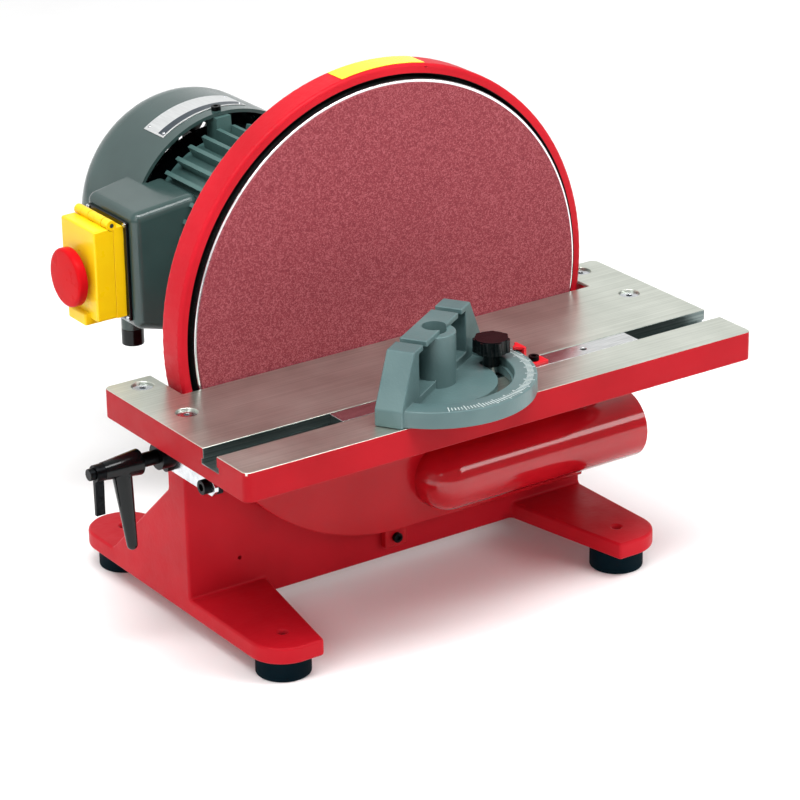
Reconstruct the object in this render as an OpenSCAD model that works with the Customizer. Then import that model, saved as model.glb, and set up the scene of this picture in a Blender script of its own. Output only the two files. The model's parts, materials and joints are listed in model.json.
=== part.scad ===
// Benchtop disc sander with a tilting table, a mitre gauge and a dust port.
// Machine axes while modelling: x to the right along the disc, y from the abrasive face to the
// motor, z up from the bench, with x = 0 and y = 0 at the centre of the abrasive face.

/* [Disc and abrasive] */
// Diameter of the aluminium disc
disc_d = 305; // [285:1:320]
// Thickness of the disc at its rim
disc_t = 12; // [9:0.5:15]
// Width of bare rim outside the abrasive sheet
disc_margin = 2; // [1:0.5:5]
// Thickness of the abrasive sheet
abrasive_t = 1.2; // [0.8:0.1:2]
// Diameter of the disc's hub
hub_d = 52; // [44:1:58]
// Length of the hub behind the disc
hub_l = 18; // [14:1:20]
// Diameter of the shaft in the hub
shaft_d = 24; // [18:1:24]

/* [Housing and base] */
// Radial gap between the disc and the guard ring
disc_gap = 3; // [2:0.5:6]
// Wall of the guard ring
guard_wall = 6.5; // [5:0.5:9]
// How far the abrasive face stands in front of the housing
disc_proud = 5; // [3:0.5:8]
// Gap behind the disc
disc_back_gap = 6; // [4:0.5:9]
// Thickness of the back plate that carries the motor
back_plate_t = 8; // [6:0.5:12]
// Height of the front wall below the guard ring
apron_h = 25; // [20:1:40]
// Thickness of the toes
toe_t = 12; // [9:0.5:16]
// How far the front toes reach in front of the housing
toe_front = 100; // [85:1:115]
// How far the rear toes reach behind the housing
toe_rear = 131; // [120:1:150]
// Radius of the toes' round ends
toe_r = 25; // [21:0.5:28]
// Width of a front toe at the housing
toe_root_w = 60; // [52:1:70]
// Width of a front toe at its tip
toe_tip_w = 41; // [38:1:48]
// Thickness of the side gussets
gusset_t = 12; // [8:1:16]
// Height of the rubber feet
foot_h = 16; // [12:1:24]
// Diameter of the rubber feet
foot_d = 37; // [30:1:40]

/* [Lower guard and dust port] */
// How far the lower guard stands in front of the housing
cover_depth = 15; // [13:0.5:18]
// Sheet thickness of the lower guard's face
cover_t = 3; // [2:0.5:4]
// Height of the table's top above the lower guard's top edge
cover_drop = 28.5; // [27:0.5:36]
// Outer diameter of the dust port
port_d = 48.8; // [44:0.4:54]
// Wall of the dust port
port_wall = 3; // [2:0.5:4]
// Distance of the port's mouth from the disc axis
port_reach = 190; // [180:1:200]

/* [Table] */
// Length of the table along the disc
table_l = 400; // [390:1:430]
// Depth of the table in front of the abrasive face
table_front = 134; // [125:1:150]
// Depth of the table's ears behind the abrasive face
table_ear = 39; // [37:1:45]
// Height of the table's edge
table_h = 20; // [18:0.5:24]
// Thickness of the table's plate
table_plate_t = 9; // [8:0.5:10]
// Thickness of the table's skirt
skirt_t = 7; // [5:0.5:8]
// Height of the disc axis above the table
table_drop = 24.5; // [20:0.5:26]
// Gap between the table and the abrasive face
table_gap = 2; // [1.5:0.5:3]
// Width of the mitre slot
slot_w = 16; // [14:0.5:18]
// Distance of the mitre slot's centre line from the abrasive face
slot_y = 92; // [85:1:100]

/* [Tilt clamp] */
// Thickness of the trunnion webs
web_t = 7.5; // [6:0.5:8]
// Outer radius of the trunnion webs
web_r = 37.5; // [36:0.5:38.5]
// Radius of the trunnions' curved slots
web_slot_r = 28; // [27:0.5:28.5]
// Thickness of the trunnion seats
seat_t = 6; // [5:0.5:6.5]
// Length of the zinc-plated bars
bar_l = 60; // [56:1:64]
// Height of the zinc-plated bars
bar_h = 12; // [10:0.5:13]
// Thickness of the zinc-plated bars
bar_t = 3; // [2:0.5:4]
// Length of the clamping lever from its axis to its tip
lever_l = 56; // [45:1:65]

/* [Motor] */
// Diameter of the motor over its fins
fin_d = 144; // [140:1:150]
// Height of the fins
fin_h = 9; // [7:0.5:10]
// Number of fins
fin_count = 36; // [24:1:40]
// Length of the finned body
body_l = 165; // [155:1:180]
// Outer diameter of the fan cowl
cowl_d = 164; // [158:1:170]
// Length of the fan cowl
cowl_l = 86; // [80:1:100]
// Wall of the fan cowl
cowl_wall = 2.5; // [2:0.5:3.5]

/* [Switch] */
// Distance of the switch box's face from the motor axis
box_face = 103; // [101:1:110]
// Width of the switch
switch_w = 46; // [42:1:48]
// Height of the switch
switch_h = 66; // [62:1:70]
// Depth of the switch's frame
switch_frame_t = 8; // [7:0.5:9]
// Depth of the hinged flap
flap_t = 15; // [14:0.5:17]
// Diameter of the stop mushroom
mushroom_d = 42; // [36:1:44]

/* [Mitre gauge] */
// Length of the guide bar
guide_l = 236; // [220:1:250]
// Radius of the protractor
gauge_r = 66; // [63:1:68]
// Thickness of the protractor's rim
gauge_rim_t = 11.5; // [10:0.5:13]
// Height of the fence above the table
fence_h = 44; // [40:1:50]
// Distance of the protractor's curved slot from its edge
gauge_slot_inset = 21; // [20:0.5:22]
// Angle of the head from square, as shown
gauge_angle = 57; // [0:1:60]
// Place of the pivot along the table from the disc axis, to the left
gauge_left = 30; // [0:1:40]

/* [Hidden] */
$fn = 64;
// Clearances: past a cut, round a screw, in a seat, round a pin, between moving pieces, in a slide
overrun = 2;
fit = 0.1;
seat_gap = 0.05;
pin_gap = 0.1;
clear = 0.4;
slide_gap = 0.25;
// Common screws: radius of the shank, radius and height of the head
m2_r = 1;
m2_head_r = 1.7;
m2_head_h = 1;
m4_r = 2;
m4_head_r = 3.5;
m4_head_h = 3;
m6_r = 3;
m6_head_r = 5;
m6_head_h = 5;
m8_r = 4;
m8_head_r = 7;
socket_share = 0.55;
thread_end = 1;

// Disc stack along y
disc_r = disc_d / 2;
abrasive_r = disc_r - disc_margin;
disc_y0 = abrasive_t;
disc_y1 = disc_y0 + disc_t;
hub_r = hub_d / 2;
hub_y1 = disc_y1 + hub_l;
shaft_r = shaft_d / 2;
shaft_y0 = disc_y0 + disc_t / 2;

// Housing and base
guard_in = disc_r + disc_gap;
guard_r = guard_in + guard_wall;
guard_edge_r = 2.5;
house_y0 = disc_proud;
plate_y0 = disc_y1 + disc_back_gap;
plate_y1 = plate_y0 + back_plate_t;
base_z0 = foot_h;
axis_z = base_z0 + apron_h + guard_r;
toe_z1 = base_z0 + toe_t;
toe_y0 = house_y0 - toe_front;
toe_y1 = plate_y1 + toe_rear;
toe_front_y = toe_y0 + toe_r;
toe_rear_y = toe_y1 - toe_r;
toe_x = guard_r - toe_r;
foot_r = foot_d / 2;
foot_bore_r = 7;
foot_bore_h = 7;
foot_screw_l = 18;
gusset_rise = 73;
gusset_run = 80;
pocket_inset = 16;
pocket_w = 28;
pocket_h = 40;
pocket_wall = 8;
apron_hole_x = 122;
apron_hole_rise = 32;
apron_hole_r = 1.5;
screw_depth = 14;

// Hub recess and motor spigot
hub_room = 4;
spigot_wall = 10;
spigot_l = 5;
spigot_in = hub_r + hub_room;
spigot_r = spigot_in + spigot_wall;

// Table
table_z1 = axis_z - table_drop;
table_z0 = table_z1 - table_h;
plate_z0 = table_z1 - table_plate_t;
table_hx = table_l / 2;
notch_gap = 2.5;
notch_hx = guard_r + notch_gap;
table_corner_r = 5;
table_pocket_r = 3;
head_sink = 1.5;
ear_screw_y = 26;
ear_screw_span = 55;
ear_screw_inset = 22;
ear_screw_x = table_hx - ear_screw_inset;
slot_d = 7.5;
slot_ledge = 2;
slot_under_w = slot_w + 2 * slot_ledge;
slot_under_h = 3.5;
slot_rib_w = 32;
slot_rib_wall = 4;
slot_z0 = table_z1 - slot_d - slot_under_h;
edge_land = 1;

// Tilt axis: along x, in the table's top face just in front of the disc
tilt_lead = 3;
tilt_y = -tilt_lead;
tilt_z = table_z1;
tilt_max = 45;

// Seats, zinc-plated bars and trunnions, drawn on the right and mirrored to the left
seat_room = 1;
web_room = 1.5;
seat_x1 = guard_r + seat_room;
seat_x0 = seat_x1 - seat_t;
web_x0 = seat_x1 + web_room;
web_x1 = web_x0 + web_t - web_room / 2;
flange_t = 8;
flange_room = 2.5;
flange_x1 = table_hx - skirt_t - flange_room;
web_slot_w = 6.4;
bar_drop = 53.5;
bar_z = tilt_z - bar_drop;
bar_lead = 40;
bar_chamfer = 4.5;
bar_y0 = -bar_lead;
bar_y1 = bar_y0 + bar_l;
bar_x1 = seat_x1 + bar_t;
bar_rear_inset = 5.5;
bar_front_inset = 9;
bar_screw_y1 = bar_y1 - bar_rear_inset;
bar_screw_y0 = bar_y0 + bar_front_inset;
seat_z0 = bar_z - bar_h / 2;
seat_y0 = bar_y0 + bar_front_inset / 2;
seat_rise = 5.5;
ledge_drop = 2;
ledge_z = seat_z0 - ledge_drop;
pin_r = web_slot_w / 2 - pin_gap;
pin_angles = [4, 32];
slot_end_angle = atan(web_slot_w / web_slot_r);

// Clamp stud and lever
stud_lag = 8;
stud_drop = 41.5;
stud_y = tilt_y + stud_lag;
stud_z = tilt_z - stud_drop;
stud_r = 4;
clamp_x0 = web_x1 + clear;
clamp_l = 10.5;
clamp_r = 9;
spacer_r = 4.8;
spacer_l = 13;
lever_x0 = clamp_x0 + clamp_l + spacer_l;
lever_hub_l = 27;
lever_hub_r0 = 8.8;
lever_hub_r1 = 6;
lever_x1 = lever_x0 + lever_hub_l;
lever_arm_x = lever_x0 + lever_hub_l / 2;
lever_lean = 11;
lever_root_r = 7;
lever_tip_r = 3.6;
button_r = 4;
button_l = 10.5;
button_travel = 3;
tab_l = 24;
tab_w = 6.5;
tab_t = 3;
tab_ring_r = 5.6;
nut_h = 8;
nut_r = 8;

// Lower guard
cover_inset = 1;
cover_side_inset = 8;
cover_y0 = house_y0 - cover_depth;
cover_r = guard_r - cover_inset;
cover_wall = cover_r - guard_in;
cover_z1 = table_z1 - cover_drop;
cover_z0 = axis_z - cover_r;
cover_x1 = cover_r - cover_side_inset;
port_r = port_d / 2;
port_bore_r = port_r - port_wall;
collar_l = 24;
collar_step = 0.6;
port_lead = 3;
port_lift = 7.6;
port_y = cover_y0 - port_lead;
port_z = cover_z0 + port_lift + port_r;
nose_x = 34;
lug_w = 18;
lug_t = 6;
lug_drop = 17;
lug_screw_drop = 10;
tab_r = 6;
tab_room = 1;
tab_drop = 9;
tab_x = seat_x0 - tab_room - tab_r;
tab_z = cover_z1 - tab_drop;

// Motor along y
fin_r = fin_d / 2;
mount_rim = 16;
mount_flange_r = fin_r + mount_rim;
mount_flange_t = 8;
mount_bolt_r = fin_r + mount_rim / 2;
mount_bolt_count = 4;
body_y0 = plate_y1 + mount_flange_t;
body_y1 = body_y0 + body_l;
body_r = fin_r - fin_h;
body_wall = 5;
body_in = body_r - body_wall;
fin_w = 3;
bearing_w = 12;
bearing_out_r = 23.5;
bearing_boss_r = 30;
bearing_lip = 2;
race_t = 3;
race_step = 1.5;
front_race_r = shaft_r + race_step;
rear_race_r = shaft_r - race_step;
rotor_shaft_r = front_race_r + race_step;
front_bearing_y = body_y0 + bearing_lip;
rear_bearing_y = body_y1 - bearing_w;
core_l = 90;
core_y0 = body_y0 + (body_l - core_l) / 2;
core_y1 = core_y0 + core_l;
air_gap = 0.6;
rotor_r = 36;
winding_l = 20;
winding_in_gap = 3;
winding_out_gap = 4;
shield_t = 8;
shield_y1 = body_y1 + shield_t;
cowl_r = cowl_d / 2;
cowl_in = cowl_r - cowl_wall;
cowl_step = 4;
cowl_y0 = body_y1 + cowl_step;
cowl_y1 = cowl_y0 + cowl_l;
cowl_edge_r = 24;
cowl_lug_w = 12;
cowl_lug_l = 10;
cowl_lug_set = 0.5;
cowl_lug_angles = [93, 250, 333];
cowl_screw_inset = 6;
cowl_screw_y = cowl_y0 + cowl_screw_inset;
cowl_screw_l = 8;
grille_in = 14;
grille_rim = 2;
grille_out = cowl_r - cowl_edge_r - grille_rim;
grille_slot_w = 4;
grille_count = 20;
fan_room = 11;
fan_tip_room = 12;
fan_y0 = shield_y1 + fan_room;
fan_l = 24;
fan_r = cowl_in - fan_tip_room;
fan_hub_r = 15;
fan_disc_t = 3;
blade_t = 3;
blade_count = 7;
blade_inset = 1.5;
shaft_end = 4;
shaft_y1 = fan_y0 + fan_l + shaft_end;
label_angle0 = 74;
label_angle1 = 124;
label_t = 0.6;
label_inset = 10;
label_w = 26;
label_y0 = cowl_y0 + label_inset;

// Switch box on the cowl's left side, with round edges and a drafted underside
box_room = 3;
box_wall = 3;
box_edge_r = 7;
box_floor = fin_r + box_room;
box_seat = 3;
box_wrap = 12;
box_root = body_r - box_wrap;
box_draft = 9;
box_flare = 4;
box_rise = 6;
switch_lead = 10.5;
switch_drop = 5;
switch_y = cowl_y0 - switch_lead;
switch_z = axis_z - switch_drop;
panel_t = 2.5;
panel_side = 3.5;
panel_end = 3;
panel_y0 = switch_y - switch_w / 2 - panel_side;
panel_y1 = switch_y + switch_w / 2 + panel_side;
panel_z0 = switch_z - switch_h / 2 - panel_end;
panel_z1 = switch_z + switch_h / 2 + panel_end;
panel_screw_inset = 1.8;
panel_screw_l = 5;
box_y0 = panel_y0 - box_edge_r - box_flare;
box_up = panel_z1 + box_edge_r + box_rise - axis_z;
box_down = axis_z - panel_z0 + box_edge_r + box_draft;
frame_x1 = box_face + panel_t + switch_frame_t;
frame_wall = 3;
flap_x0 = frame_x1 + clear;
flap_x1 = flap_x0 + flap_t;
flap_wall = 2.5;
hinge_r = 3.6;
hinge_pin_r = 1.5;
hinge_rise = 2;
hinge_lead = 1;
hinge_z = switch_z + switch_h / 2 + hinge_rise;
hinge_x = frame_x1 + hinge_lead;
knuckle_count = 5;
button_gap = 0.3;
start_rise = 18;
stop_drop = 4;
start_z = switch_z + start_rise;
stop_z = switch_z - stop_drop;
push_r = 8;
push_stem_r = 4;
push_proud = 4;
push_l = 13;
push_travel = 3;
mushroom_t = 8;
mushroom_round = 2.5;
mushroom_stem_r = 13;
mushroom_gap = 4.5;
mushroom_x0 = flap_x1 + mushroom_gap;
block_l = 18;
block_side = 3;
block_end = 4;
block_w = switch_w - 2 * frame_wall - 2 * block_side;
block_h = switch_h - 2 * frame_wall - 2 * block_end;
gland_r = 8;
gland_neck_r = 5.5;
gland_bore_r = 3.5;
gland_l = 12;
gland_neck_l = 9;
gland_x = (box_floor + box_face) / 2;
gland_z = axis_z - box_down;
latch_w = 24;
latch_t = 4;
latch_drop = 5;

// Mitre gauge, measured from its pivot
guide_left = 106;
guide_x0 = -guide_left;
guide_x1 = guide_x0 + guide_l;
guide_sink = 0.2;
guide_z0 = slot_z0 + slide_gap;
guide_z1 = table_z1 - guide_sink;
guide_foot_h = slot_under_h - 2 * slide_gap;
gauge_lift = 0.3;
gauge_x = -gauge_left;
gauge_z0 = table_z1 + gauge_lift;
gauge_web_t = 6;
gauge_ring_w = 15;
gauge_slot_r = gauge_r - gauge_slot_inset;
gauge_slot_w = 8.8;
gauge_slot_angle = 64;
fence_lead = 13;
fence_t = 19;
fence_wall = 8;
fence_foot_over = 3;
fence_top_inset = 18;
fence_slot_inset = 36;
fence_foot_u = gauge_r + fence_foot_over;
fence_top_u = gauge_r - fence_top_inset;
fence_slot_u = gauge_r - fence_slot_inset;
fence_slot_w = 6;
fence_slot_h = 20;
boss_r = 14;
boss_step = 3;
boss_h = fence_h - boss_step;
boss_bore_r = 8;
pivot_r = 4;
pivot_head_r = 6.5;
pivot_head_h = 5;
pivot_depth = 8;
knob_x = gauge_x + gauge_slot_r;
knob_r = 12.5;
knob_h = 9.5;
knob_lift = 4.5;
knob_z0 = gauge_z0 + gauge_rim_t + knob_lift;
knob_neck_r = 5.4;
knob_lobes = 7;
knob_lobe_r = 3.2;
lobe_step = 0.4;
knob_stud_r = 4;
pointer_gap = 1.2;
pointer_l = 20;
pointer_w = 11;
pointer_t = 2;
pointer_tip = 4;
pointer_x0 = gauge_x + gauge_r + pointer_gap;
pointer_x1 = pointer_x0 + pointer_l;
pointer_z0 = gauge_z0 + gauge_rim_t + pointer_gap;
pointer_screw_inset = 8;
pointer_screw_x = pointer_x1 - pointer_screw_inset;
pointer_screw_l = 6;
guide_hole_r = 2;
guide_hole_x = 90;

// The origin is the middle of the whole machine's footprint, on the bench
reach_left = lever_x1 + button_l;
reach_right = max(table_hx, port_reach);
reach_front = max(slot_y + gauge_r, table_front);
reach_rear = cowl_y1;
origin_x = (reach_right - reach_left) / 2;
origin_y = (reach_rear - reach_front) / 2;

// Moves a piece from the machine axes to the part's own origin
module set_down() {
    translate([-origin_x, -origin_y, 0]) children();
}

// A block between two opposite corners
module slab(low, high) {
    translate(low) cube(high - low);
}

// Cylinders along x and y, starting at the place of the translate
module rod_x(r, l) {
    rotate([0, 90, 0]) cylinder(r = r, h = l);
}

module rod_y(r, l) {
    rotate([-90, 0, 0]) cylinder(r = r, h = l);
}

// A cylinder on the motor axis between two places along y
module axle(r, y0, y1) {
    translate([0, y0, axis_z]) rod_y(r, y1 - y0);
}

// Children drawn in (y, z), given a thickness from x0 to x1
module across_x(x0, x1) {
    translate([x0, 0, 0]) rotate([90, 0, 90]) linear_extrude(x1 - x0) children();
}

// Children drawn in (x, z), given a thickness from y0 to y1
module across_y(y0, y1) {
    translate([0, y1, 0]) rotate([90, 0, 0]) linear_extrude(y1 - y0) children();
}

// Left and right copies: the children are drawn on the right
module both_sides() {
    children();
    mirror([1, 0, 0]) children();
}

module round_rect(low, high, r) {
    translate([low[0] + r, low[1]]) square([high[0] - low[0] - 2 * r, high[1] - low[1]]);
    translate([low[0], low[1] + r]) square([high[0] - low[0], high[1] - low[1] - 2 * r]);
    for (x = [low[0] + r, high[0] - r], y = [low[1] + r, high[1] - r])
        translate([x, y]) circle(r);
}

// A socket-head screw with its head above z = 0 and its shank below
module socket_screw(shank_r, shank_l, head_r, head_h) {
    difference() {
        union() {
            cylinder(r = head_r, h = head_h);
            translate([0, 0, -shank_l]) cylinder(r = shank_r, h = shank_l);
        }
        translate([0, 0, head_h * (1 - socket_share)])
            cylinder(r = head_r * socket_share, h = head_h, $fn = 6);
    }
}

// A countersunk screw with its flat top at z = 0
module sunk_screw(shank_r, shank_l, head_r) {
    difference() {
        union() {
            translate([0, 0, shank_r - head_r])
                cylinder(r1 = shank_r, r2 = head_r, h = head_r - shank_r);
            translate([0, 0, -shank_l]) cylinder(r = shank_r, h = shank_l - head_r + shank_r);
        }
        translate([0, 0, shank_r - head_r])
            cylinder(r = shank_r * socket_share, h = head_r, $fn = 6);
    }
}

// Places of the four feet and of the four table screws
module at_feet() {
    for (x = [-toe_x, toe_x], y = [toe_front_y, toe_rear_y]) translate([x, y, 0]) children();
}

module at_table_screws() {
    for (x = [-ear_screw_x, ear_screw_x], y = [ear_screw_y - ear_screw_span, ear_screw_y])
        translate([x, y, 0]) children();
}

// Places of the screws that hold the zinc-plated bars, heads outwards
module at_bar_screws() {
    both_sides()
        for (y = [bar_screw_y0, bar_screw_y1])
            translate([bar_x1, y, bar_z]) rotate([0, 90, 0]) children();
}

// Places of the motor's flange bolts, heads to the rear
module at_motor_bolts() {
    for (i = [0 : mount_bolt_count - 1])
        translate([0, body_y0, axis_z])
            rotate([0, 45 + i * 360 / mount_bolt_count, 0])
                translate([mount_bolt_r, 0, 0]) rotate([-90, 0, 0]) children();
}

// Places of the cowl's screws, heads outwards
module at_cowl_screws() {
    for (a = cowl_lug_angles)
        translate([0, cowl_screw_y, axis_z]) rotate([0, 90 - a, 0])
            translate([0, 0, cowl_r]) children();
}

// Places of the lower guard's screws, heads to the front
module at_cover_screws() {
    translate([0, house_y0 - lug_t, cover_z0 - lug_screw_drop]) rotate([90, 0, 0]) children();
    for (x = [-tab_x, tab_x])
        translate([x, house_y0 - lug_t, tab_z]) rotate([90, 0, 0]) children();
}

// The outline of one front toe and one rear toe on the right
module front_toe() {
    intersection() {
        translate([toe_x, toe_front_y]) circle(toe_r);
        translate([toe_x, toe_y0]) square([toe_r, 2 * toe_r]);
    }
    polygon([
        [guard_r, plate_y1],
        [guard_r, toe_front_y],
        [toe_x, toe_y0],
        [guard_r - toe_tip_w, toe_y0],
        [guard_r - toe_root_w, house_y0],
        [guard_r - toe_root_w, plate_y1]
    ]);
}

module rear_toe() {
    translate([toe_x, toe_rear_y]) circle(toe_r);
    translate([guard_r - 2 * toe_r, house_y0]) square([2 * toe_r, toe_rear_y - house_y0]);
}

// The round upper housing with its edges eased
module guard_ring() {
    axle(guard_r, house_y0 + guard_edge_r, plate_y1 - guard_edge_r);
    axle(guard_r - guard_edge_r, house_y0, plate_y1);
    for (y = [house_y0 + guard_edge_r, plate_y1 - guard_edge_r])
        translate([0, y, axis_z]) rotate([-90, 0, 0]) rotate_extrude()
            translate([guard_r - guard_edge_r, 0]) circle(guard_edge_r);
}

module base_casting() {
    color("firebrick") set_down() difference() {
        union() {
            guard_ring();
            slab([-guard_r, house_y0, base_z0], [guard_r, plate_y1, ledge_z]);
            slab([-seat_x0, house_y0, base_z0], [seat_x0, plate_y1, cover_z1]);
            translate([0, 0, base_z0]) linear_extrude(toe_t) both_sides() {
                front_toe();
                rear_toe();
            }
            both_sides() across_x(guard_r - gusset_t, guard_r) polygon([
                [house_y0, base_z0],
                [plate_y1 + gusset_run, base_z0],
                [plate_y1 + gusset_run, toe_z1],
                [plate_y1, toe_z1 + gusset_rise],
                [house_y0, toe_z1 + gusset_rise]
            ]);
        }
        axle(guard_in, house_y0 - overrun, plate_y0);
        axle(spigot_r + fit, plate_y0 - overrun, plate_y1 + overrun);
        both_sides() slab(
            [guard_r - pocket_inset - pocket_w, house_y0 + pocket_wall, toe_z1],
            [guard_r - pocket_inset, plate_y1 + overrun, toe_z1 + pocket_h]
        );
        translate([-apron_hole_x, house_y0 - overrun, base_z0 + apron_hole_rise])
            rod_y(apron_hole_r, pocket_wall / 2 + overrun);
        at_feet() translate([0, 0, base_z0 - overrun])
            cylinder(r = m6_r + fit, h = toe_t + 2 * overrun);
        at_motor_bolts() translate([0, 0, -mount_flange_t - back_plate_t - overrun])
            cylinder(r = m6_r + fit, h = mount_flange_t + back_plate_t + 2 * overrun);
        at_bar_screws() translate([0, 0, -bar_t - seat_t - screw_depth])
            cylinder(r = m6_r + fit, h = screw_depth + seat_t);
        at_cover_screws() translate([0, 0, -lug_t - screw_depth])
            cylinder(r = m4_r + fit, h = screw_depth + lug_t);
    }
}

module rubber_feet() {
    color("#2b3a3a") set_down() at_feet() difference() {
        cylinder(r = foot_r, h = foot_h);
        translate([0, 0, -overrun]) cylinder(r = foot_bore_r, h = foot_bore_h + overrun);
        cylinder(r = m6_r + fit, h = foot_h + overrun);
    }
}

module foot_screws() {
    color("silver") set_down() at_feet()
        translate([0, 0, foot_bore_h]) mirror([0, 0, 1])
            socket_screw(m6_r, foot_screw_l, m6_head_r, m6_head_h);
}

// The outline of the lower guard: round on the left, square towards the dust port
module cover_outline(inset) {
    intersection() {
        union() {
            translate([0, axis_z]) circle(cover_r - inset);
            translate([0, cover_z0 + inset]) square([cover_x1 - inset, cover_r]);
        }
        translate([-cover_r, cover_z0]) square([2 * cover_r, cover_z1 - cover_z0]);
    }
}

module lower_guard() {
    color("firebrick") set_down() difference() {
        union() {
            across_y(cover_y0, house_y0) cover_outline(0);
            translate([nose_x, port_y, port_z]) {
                sphere(port_r);
                rod_x(port_r, port_reach - nose_x);
            }
            slab(
                [-lug_w / 2, house_y0 - lug_t, cover_z0 - lug_drop],
                [lug_w / 2, house_y0, cover_z0 + cover_wall]
            );
            for (x = [-tab_x, tab_x])
                translate([x, house_y0 - lug_t, tab_z]) rod_y(tab_r, lug_t);
        }
        across_y(cover_y0 + cover_t, house_y0 + overrun) cover_outline(cover_wall);
        translate([nose_x, port_y, port_z]) {
            sphere(port_bore_r);
            rod_x(port_bore_r, port_reach - nose_x + overrun);
        }
        translate([port_reach - collar_l, port_y, port_z])
            rod_x(port_bore_r + collar_step, collar_l + overrun);
        slab(
            [-cover_r, house_y0, port_z - 2 * port_r],
            [guard_r + clear, house_y0 + 2 * port_r, port_z + 2 * port_r]
        );
        slab(
            [-cover_r, cover_y0 + cover_t, cover_z1 - cover_wall],
            [cover_r, house_y0 + overrun, cover_z1 + overrun]
        );
        at_cover_screws() {
            translate([0, 0, -lug_t - overrun]) cylinder(r = m4_r + fit, h = lug_t + 2 * overrun);
            cylinder(r = m4_head_r + clear, h = cover_depth);
        }
    }
}

module guard_screws() {
    color("#202020") set_down() at_cover_screws()
        socket_screw(m4_r, lug_t + screw_depth / 2, m4_head_r, m4_head_h);
}

module motor_flange() {
    color("#5d7470") set_down() difference() {
        union() {
            axle(mount_flange_r, plate_y1, body_y0);
            axle(spigot_r, plate_y1 - spigot_l, plate_y1);
            axle(bearing_boss_r, plate_y1, front_bearing_y + bearing_w);
            axle(body_in - seat_gap, body_y0, body_y0 + bearing_lip);
        }
        axle(spigot_in, plate_y1 - spigot_l - overrun, body_y0 - bearing_lip);
        axle(front_race_r + race_t, plate_y1, front_bearing_y + overrun);
        axle(bearing_out_r + seat_gap, front_bearing_y, front_bearing_y + bearing_w + overrun);
        at_motor_bolts() translate([0, 0, -mount_flange_t - overrun])
            cylinder(r = m6_r + fit, h = mount_flange_t + 2 * overrun);
    }
}

module motor_bolts() {
    color("#303030") set_down() at_motor_bolts()
        socket_screw(m6_r, mount_flange_t + back_plate_t - thread_end, m6_head_r, m6_head_h);
}

module motor_body() {
    color("#5d7470") set_down() difference() {
        union() {
            axle(body_r, body_y0, body_y1);
            difference() {
                for (i = [0 : fin_count - 1])
                    translate([0, body_y0, axis_z]) rotate([0, (i + 1 / 4) * 360 / fin_count, 0])
                        slab([body_r - body_wall / 2, 0, -fin_w / 2], [fin_r, body_l, fin_w / 2]);
                slab(
                    [-fin_r - overrun, box_y0 - clear, axis_z - box_down - clear],
                    [-box_root + clear, body_y1 + overrun, axis_z + box_up + clear]
                );
            }
        }
        axle(body_in, body_y0 - overrun, body_y1 + overrun);
    }
}

module stator_core() {
    color("#6c6c70") set_down() difference() {
        axle(body_in - seat_gap, core_y0, core_y1);
        axle(rotor_r + air_gap, core_y0 - overrun, core_y1 + overrun);
    }
}

module stator_windings() {
    color("#b26a33") set_down()
        for (y0 = [core_y0 - winding_l, core_y1])
            difference() {
                axle(body_in - winding_out_gap, y0, y0 + winding_l);
                axle(rotor_r + winding_in_gap, y0 - overrun, y0 + winding_l + overrun);
            }
}

// A ball bearing as its two races with the ball row between them
module bearing(y0, in_r, out_r) {
    difference() {
        axle(out_r, y0, y0 + bearing_w);
        axle(in_r, y0 - overrun, y0 + bearing_w + overrun);
        for (y = [y0 - overrun, y0 + bearing_w - bearing_lip])
            difference() {
                axle(out_r - race_t, y, y + bearing_lip + overrun);
                axle(in_r + race_t, y - overrun, y + bearing_w);
            }
    }
}

module front_bearing() {
    color("silver") set_down() bearing(front_bearing_y, front_race_r, bearing_out_r);
}

module rear_bearing() {
    color("silver") set_down() bearing(rear_bearing_y, rear_race_r, bearing_out_r);
}

module rear_shield() {
    color("#5d7470") set_down() difference() {
        union() {
            axle(body_r, body_y1, shield_y1);
            axle(bearing_boss_r, rear_bearing_y, shield_y1);
            for (a = cowl_lug_angles)
                translate([0, cowl_screw_y, axis_z]) rotate([0, 90 - a, 0]) slab(
                    [-cowl_lug_w / 2, body_y1 + cowl_lug_set - cowl_screw_y, body_r - body_wall],
                    [cowl_lug_w / 2, cowl_lug_l / 2, cowl_in - clear]
                );
        }
        axle(bearing_out_r + seat_gap, rear_bearing_y - overrun, body_y1);
        axle(rear_race_r + race_t, body_y1 - overrun, shield_y1 + overrun);
        at_cowl_screws() translate([0, 0, -cowl_wall - cowl_screw_l])
            cylinder(r = m4_r + fit, h = cowl_screw_l + overrun);
    }
}

// The rounded cup of the cowl, drawn inset by a wall
module cowl_cup(inset) {
    cup_r = cowl_r - inset;
    edge_r = cowl_edge_r - inset;
    rim_y = cowl_y0 - (inset > 0 ? overrun : 0);
    axle(cup_r, rim_y, cowl_y1 - cowl_edge_r);
    axle(cup_r - edge_r, rim_y, cowl_y1 - inset);
    translate([0, cowl_y1 - cowl_edge_r, axis_z]) rotate([-90, 0, 0])
        rotate_extrude() translate([cup_r - edge_r, 0]) circle(edge_r);
}

// The box that carries the switch: round edges, and a wider root that lies round the motor body
module switch_box() {
    difference() {
        hull() {
            for (y = [panel_y0, panel_y1], z = [panel_z0, panel_z1])
                translate([-box_face + box_edge_r, y, z]) sphere(box_edge_r, $fn = 32);
            for (y = [panel_y0 - box_flare, panel_y1 + box_flare],
                 z = [panel_z0 - box_draft, panel_z1 + box_rise])
                translate([-box_root - box_edge_r, y, z]) sphere(box_edge_r, $fn = 32);
        }
        axle(body_r + box_seat, body_y0, cowl_y0 + overrun);
    }
}

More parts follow.
